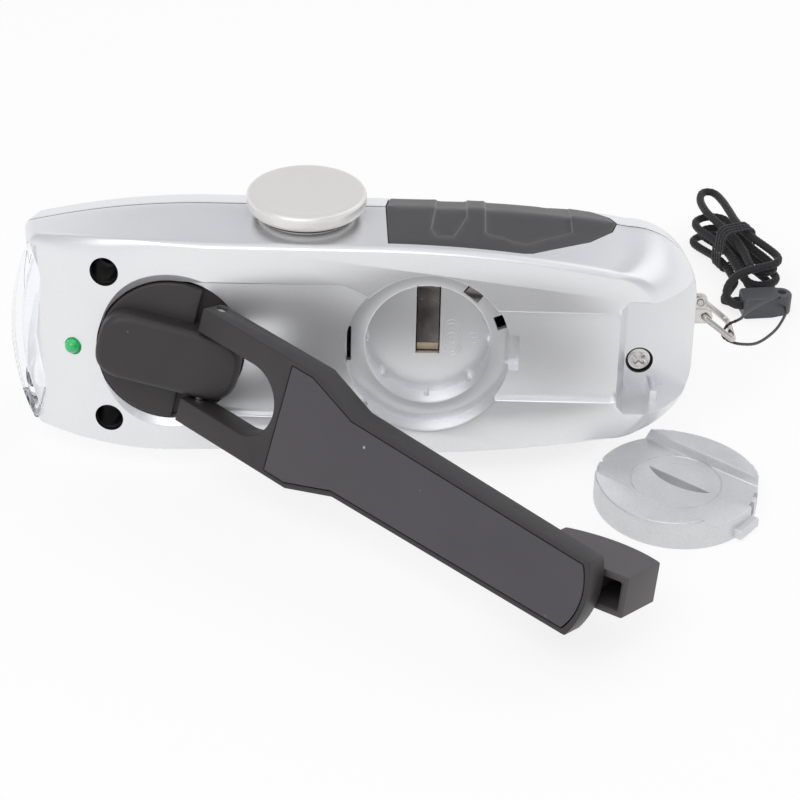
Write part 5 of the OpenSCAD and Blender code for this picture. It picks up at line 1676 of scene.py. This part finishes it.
class Kit:
    """Geometry Nodes trees that set one small shape at each of several points."""

    @staticmethod
    def tree(name: str, sizes: dict[str, float]) -> NewTree:
        """Empty tree with a points input, named sizes and a material input.

        Args:
            name: Name of the tree.
            sizes: Named lengths with their defaults.

        Returns:
            The tree, its graph, its input and its output node.
        """
        tree = bpy.data.node_groups.new(name, "GeometryNodeTree")
        tree.interface.new_socket("Points", in_out="INPUT", socket_type="NodeSocketGeometry")
        for label, value in sizes.items():
            tree.interface.new_socket(label, in_out="INPUT",
                                      socket_type="NodeSocketFloat").default_value = value
        tree.interface.new_socket("Finish", in_out="INPUT", socket_type="NodeSocketMaterial")
        tree.interface.new_socket("Pieces", in_out="OUTPUT", socket_type="NodeSocketGeometry")
        graph = Graph(tree)
        return tree, graph, graph.add("NodeGroupInput"), graph.add("NodeGroupOutput")

    @staticmethod
    def finish(graph: Graph, given: Node, out: Node, shape: Socket) -> None:
        """Sets the shape at each point, makes it real and gives it its material."""
        spread = graph.add("GeometryNodeInstanceOnPoints", None,
                           {"Points": given.outputs["Points"], "Instance": shape})
        real = graph.add("GeometryNodeRealizeInstances", None, {0: spread.outputs[0]})
        named = graph.add("GeometryNodeSetMaterial", None, {"Geometry": real.outputs[0],
                                                            "Material": given.outputs["Finish"]})
        graph.link(named.outputs[0], out.inputs[0])

    @staticmethod
    def raised(graph: Graph, shape: Socket, height: object, turn: float = 0.0) -> Socket:
        """Shape moved up, and turned by an angle in degrees."""
        return graph.add("GeometryNodeTransform", None,
                         {"Geometry": shape, "Translation": graph.xyz(z=height),
                          "Rotation": (0.0, 0.0, math.radians(turn))}).outputs[0]

    @staticmethod
    def joined(graph: Graph, *parts: Socket) -> Socket:
        """Several shapes as one."""
        both = graph.add("GeometryNodeJoinGeometry")
        for part in parts:
            graph.link(part, both.inputs[0])
        return both.outputs[0]

    @staticmethod
    def rod(graph: Graph, steps: int, radius: object, length: object, low: object) -> Socket:
        """Round rod on the z axis, from a lower end."""
        rod = graph.add("GeometryNodeMeshCylinder", None,
                        {"Vertices": steps, "Radius": radius, "Depth": length})
        middle = graph.math("ADD", low, graph.math("MULTIPLY", length, 0.5))
        return Kit.raised(graph, rod.outputs[0], middle)

    @staticmethod
    def screw_tree() -> Tree:
        """Cross-head screw: a flat head with a crossed recess on a plain shank."""
        tree, graph, given, out = Kit.tree("Case screws", {
            "Head radius": 2.4, "Head height": 1.8, "Shank radius": 1.3, "Shank length": 11.5,
            "Cross length": 2.8, "Cross width": 0.7, "Cross depth": 0.8})
        head = Kit.rod(graph, 40, given.outputs["Head radius"], given.outputs["Head height"], 0.02)
        size = graph.xyz(given.outputs["Cross length"], given.outputs["Cross width"], 2.0)
        floor = graph.math("SUBTRACT", given.outputs["Head height"], given.outputs["Cross depth"])
        rise = graph.math("ADD", floor, 1.0)
        for turn in (45, 135):
            bar = graph.add("GeometryNodeMeshCube", None, {"Size": size}).outputs[0]
            cut = graph.add("GeometryNodeMeshBoolean", {
                "operation": "DIFFERENCE", "solver": "EXACT"}, {"Mesh 1": head})
            graph.link(Kit.raised(graph, bar, rise, turn), cut.inputs["Mesh 2"])
            head = cut.outputs[0]
        low = graph.math("MULTIPLY", given.outputs["Shank length"], -1.0)
        shank = Kit.rod(graph, 24, given.outputs["Shank radius"], given.outputs["Shank length"],
                        low)
        Kit.finish(graph, given, out, Kit.joined(graph, shank, head))
        return tree

    @staticmethod
    def rib_tree() -> Tree:
        """Upright rib with a pointed top that centres the cell."""
        tree, graph, given, out = Kit.tree("Well ribs",
                                           {"Radius": 0.55, "Height": 2.5, "Point": 0.5})
        stem = graph.math("SUBTRACT", given.outputs["Height"], given.outputs["Point"])
        post = Kit.rod(graph, 20, given.outputs["Radius"], graph.math("ADD", stem, 0.3), -0.3)
        tip = graph.add("GeometryNodeMeshCone", None, {
            "Vertices": 20, "Radius Bottom": given.outputs["Radius"], "Radius Top": 0.2,
            "Depth": given.outputs["Point"]})
        top = Kit.raised(graph, tip.outputs[0], stem)
        Kit.finish(graph, given, out, Kit.joined(graph, top, post))
        return tree

    @staticmethod
    def set_out(name: str, tree: Tree, points: Sequence[Spot], finish: Finish,
                matrix: Matrix) -> Object:
        """Runs a tree on points and keeps the result as plain mesh.

        Args:
            name: Name of the piece.
            tree: The tree.
            points: Where each shape goes, in millimetres.
            finish: Its finish.
            matrix: Where the whole goes.

        Returns:
            The piece.
        """
        block = Block()
        block.verts = list(points)
        obj = raw(name, block)
        nodes = obj.modifiers.new("set out", "NODES")
        nodes.node_group = tree
        for item in tree.interface.items_tree:
            if item.item_type == "SOCKET" and item.in_out == "INPUT" and item.name == "Finish":
                nodes[item.identifier] = finish.material()
        settle(obj)
        obj.data.transform(matrix)
        return obj


def build_repeats(housing: Housing) -> None:
    """Sets out the case screws and the ribs of the well.

    Args:
        housing: Gives the places.
    """
    screws = Kit.set_out("case_screws_cross", Kit.screw_tree(), housing.screws, NICKEL, STAND)
    wear(shade(round_edges(screws, 0.12 * MM, 50, 2)), NICKEL, "nickel", "housing", "case_screws")
    reach = housing.rib_reach
    spots = [(housing.well_x + reach * math.cos(math.radians(a)), reach * math.sin(math.radians(a)),
              housing.well_floor) for a in housing.rib_turns]
    ribs = Kit.set_out("well_ribs", Kit.rib_tree(), spots, SILVER, STAND)
    wear(shade(ribs), SILVER, "silver_shell", "housing")


# Crank


@dataclass
class Crank:
    """Hub, folding arm with its plate, and knob."""

    nodes: dict[str, Object]
    hub: Flat = (-32.5, -0.6)
    turn: float = 14.2
    hub_r: float = 14.8
    bar_w: float = 14.2
    bar_top: float = 22.6
    bar_crown: float = 40.0
    segment_top: float = 17.6
    foot: float = 10.3
    notch_x: float = 3.395
    notch_floor: float = 15.395
    fold_r: float = 8.0
    fold_z: float = 19.9
    pin_bore: float = 1.01
    shaft_bore: float = 3.02

    def place(self) -> Matrix:
        """Where the hub's own axes stand."""
        return STAND @ Matrix.Translation((*self.hub, 0)) @ turned(-self.turn)

    def bar(self) -> Object:
        """Crowned bar across the hub that carries the fold pin."""
        plan = resampled(rounded(rectangle(-14.7, -self.bar_w / 2, 14.7, self.bar_w / 2), 6.4, 12),
                         1.2)
        reach = self.hub_r - 0.06
        plan = [(x * min(1.0, reach / math.hypot(x, y)), y * min(1.0, reach / math.hypot(x, y)))
                for x, y in plan]
        crown = self.bar_crown
        bar = raw("bar", pillow(plan, self.foot, self.bar_top, 1.5, 0.0,
                                lambda x, y: math.sqrt(crown * crown - y * y) - crown))
        bore = raw("bore", column(self.pin_bore, -20, 20))
        bore.data.transform(Matrix.Translation((self.fold_r, 0, self.fold_z)) @ turned(90, "X"))
        return carve(bar, bore)

    def hub_piece(self) -> Object:
        """Hub: a disc with two notches for the fork, and the bar."""
        r, top = self.hub_r, self.segment_top
        profile = softened([(0, self.foot), (r, self.foot), (r, top), (0, top)], 0.5)
        disc = raw("hub_dressed", lathe(profile, 128))
        for side in (-1, 1):
            y0, y1 = sorted((side * (self.bar_w / 2 - 0.01), side * (r + 1)))
            carve(disc, raw("notch", prism(rectangle(self.notch_x, y0, 30, y1), self.notch_floor,
                                           30, 0.25, top)))
        carve(disc, self.bar(), Cut.JOIN)
        carve(disc, raw("shaft_way", column(self.shaft_bore, 5, 14, 48)))
        disc.data.transform(self.place())
        return shade(disc)

    def build(self) -> None:
        """Makes and dresses the crank's pieces."""
        wear(self.hub_piece(), BLACK, "black_plastic", "crank", "crank_hub")
        for node, width, finish, body in (
                ("crank_arm", 0.3, BLACK, "arm"), ("arm_plate", 0.14, PLATE, "arm"),
                ("crank_knob", 0.4, KNOB, "knob")):
            wear(soft_copy(self.nodes, node, width), finish, "black_plastic", body, node)


# Battery


@dataclass
class Battery:
    """Cover on the floor and coin cell on the upper wall."""

    cover_at: Flat = (71.5, -28.4)
    cover_turn: float = -38.7
    cover_r: float = 16.7
    cover_h: float = 7.0
    channel: float = 20.0
    sunk: float = 2.0
    fall: float = 1.2
    slot_l: float = 15.0
    slot_w: float = 2.6
    slot_d: float = 2.6
    groove: tuple[Flat, ...] = ((9.5, 1), (9.5, -0.05), (9.35, -0.25), (9.2, -0.25), (9.05, -0.05),
                                (9.05, 1))
    notch_turns: tuple[float, ...] = (12, 24, 192, 204)
    rounding: float = 0.3
    cell_at: Flat = (-5.4, -0.6)
    cell_r: float = 12.25
    cell_t: float = 5.0
    cap_r: float = 10.0
    cap_t: float = 1.5
    crimp_r: float = 11.4

    def cover(self) -> Object:
        """Cover with a channel across it, a coin slot, a fine ring and its catch."""
        r, h = self.cover_r, self.cover_h
        obj = raw("cover_dressed", lathe(softened([(0, 0), (r, 0), (r, h), (0, h)], 0.5), 144))
        half = self.channel / 2
        wide = [(-half + 0.8, h - self.sunk), (half - 0.8, h - self.sunk), (half + 0.4, h + 1),
                (half + 0.4, h + 3), (-half - 0.4, h + 3), (-half - 0.4, h + 1)]
        edge, low_rim = half + 0.4, h - self.fall
        side = [(edge, h), (r + 2, low_rim), (r + 2, h + 3), (edge, h + 3)]
        for cut in (wide, side, [(-y, z) for y, z in reversed(side)]):
            carve(obj, raw("channel", beam(cut, -r - 5, r + 5)))
        round_edges(obj, self.rounding, 40)
        catch = raw("catch", pillow(rounded(rectangle(r - 1, -3.4, 18.2, 3.4), 0.5, 3), 0.6, 2.8,
                                    0.3, 0.3))
        carve(obj, catch, Cut.JOIN)
        floor = h - self.sunk
        bow = (self.slot_l ** 2 / 4 + self.slot_w ** 2) / 2 / self.slot_w
        reach = math.degrees(math.asin(self.slot_l / 2 / bow))
        low = arc(0, -self.slot_w / 2 + bow, bow, 270 - reach, 270 + reach, 24)
        carve(obj, raw("coin_slot", prism(low, floor - self.slot_d, h + 3, 0.25, floor)))
        carve(obj, raw("ring", band([(circle(q, 128), floor + z) for q, z in self.groove])))
        for turn in self.notch_turns:
            notch = raw("notch", prism(rectangle(r - 0.8, -0.8, r + 2, 0.8), 2.2, h + 1))
            notch.data.transform(turned(turn))
            carve(obj, notch)
        inner, outer = self.cell_r - 1, r - 2
        under = ((outer, -1), (outer, 1.6), (inner, 1.6), (inner, -1))
        carve(obj, raw("under", band([(circle(q, 96), z) for q, z in under])))
        turn = turned(self.cover_turn)
        obj.data.transform(FLOOR @ Matrix.Translation((*self.cover_at, 0)) @ turn)
        return shade(obj)

    def cell(self) -> list[Object]:
        """Can, gasket and cap of the coin cell, can upwards."""
        place = FLOOR @ Matrix.Translation((*self.cell_at, 2 * LIFT + 0.25))
        low, r, t, c = self.cap_t + 0.1, self.cell_r, self.cell_t, self.crimp_r
        can = softened([(0, low), (c, low), (r, low + 0.9), (r, t - 0.55), (r - 0.55, t),
                        (r - 2.4, t), (r - 2.6, t - 0.04), (0, t - 0.04)], 0.4)
        cap = softened([(0, 0), (self.cap_r - 0.5, 0), (self.cap_r, 0.5), (self.cap_r, low - 0.02),
                        (0, low - 0.02)], 0.3)
        inner = self.cap_r + 0.03
        section = ((c - 0.6, low - 0.02), (c - 0.5, low - 0.3), (c - 0.8, low - 0.68),
                   (inner, low - 0.68), (inner, low - 0.02))
        gasket = band([(circle(q, 96), z) for q, z in section])
        return [shade(raw("cell_can_turned", lathe(can, 128), place)),
                shade(raw("cell_gasket_ring", gasket, place)),
                shade(raw("cell_cap_turned", lathe(cap, 128), place))]

    def build(self) -> None:
        """Makes and dresses the cover and the cell."""
        wear(self.cover(), SATIN, "silver_shell", "cover", "battery_cover")
        can, gasket, cap = self.cell()
        wear(can, STEEL, "cell_steel", "cell", "cell_can")
        wear(gasket, DARK, "dark_resin", "cell", "cell_gasket")
        wear(cap, STEEL, "cell_steel", "cell", "cell_cap")


# Inner pieces that keep their CAD shape


@dataclass
class Inside:
    """Gears, generator, boards and pins, which show only through openings."""

    nodes: dict[str, Object]
    finishes: dict[str, Finish] = field(
        default_factory=lambda: {"led_board": BOARD, "circuit_board": BOARD, "board_parts": DARK,
                                 "switch_body": DARK, "shaft_bush": BRASS, "gear_plate": WHITE,
                                 "gear_axles": NICKEL, "stator_core": CORE, "stator_coil": COPPER,
                                 "crank_shaft": NICKEL, "drive_gear": WHITE, "shaft_clip": CORE,
                                 "fold_pin": NICKEL, "knob_pin": NICKEL, "first_gear": WHITE,
                                 "second_gear": WHITE, "rotor_pinion": WHITE, "rotor_magnet": CORE})

    def build(self) -> None:
        """Gives each kept node its finish."""
        for name, finish in self.finishes.items():
            node = self.nodes[name]
            if not node.material_slots:
                node.data.materials.append(finish.material())
            for place in node.material_slots:
                place.material = finish.material()
            log.info("%s keeps its shape", name)


def main() -> None:
    """Builds the studio and the flashlight."""
    logging.basicConfig(level=logging.INFO, format="%(message)s")
    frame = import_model()
    Studio().build()
    Lanyard().build()
    housing = Housing(frame["nodes"])
    housing.build()
    build_repeats(housing)
    Crank(frame["nodes"]).build()
    Battery().build()
    Inside(frame["nodes"]).build()


if __name__ == "__main__":
    main()
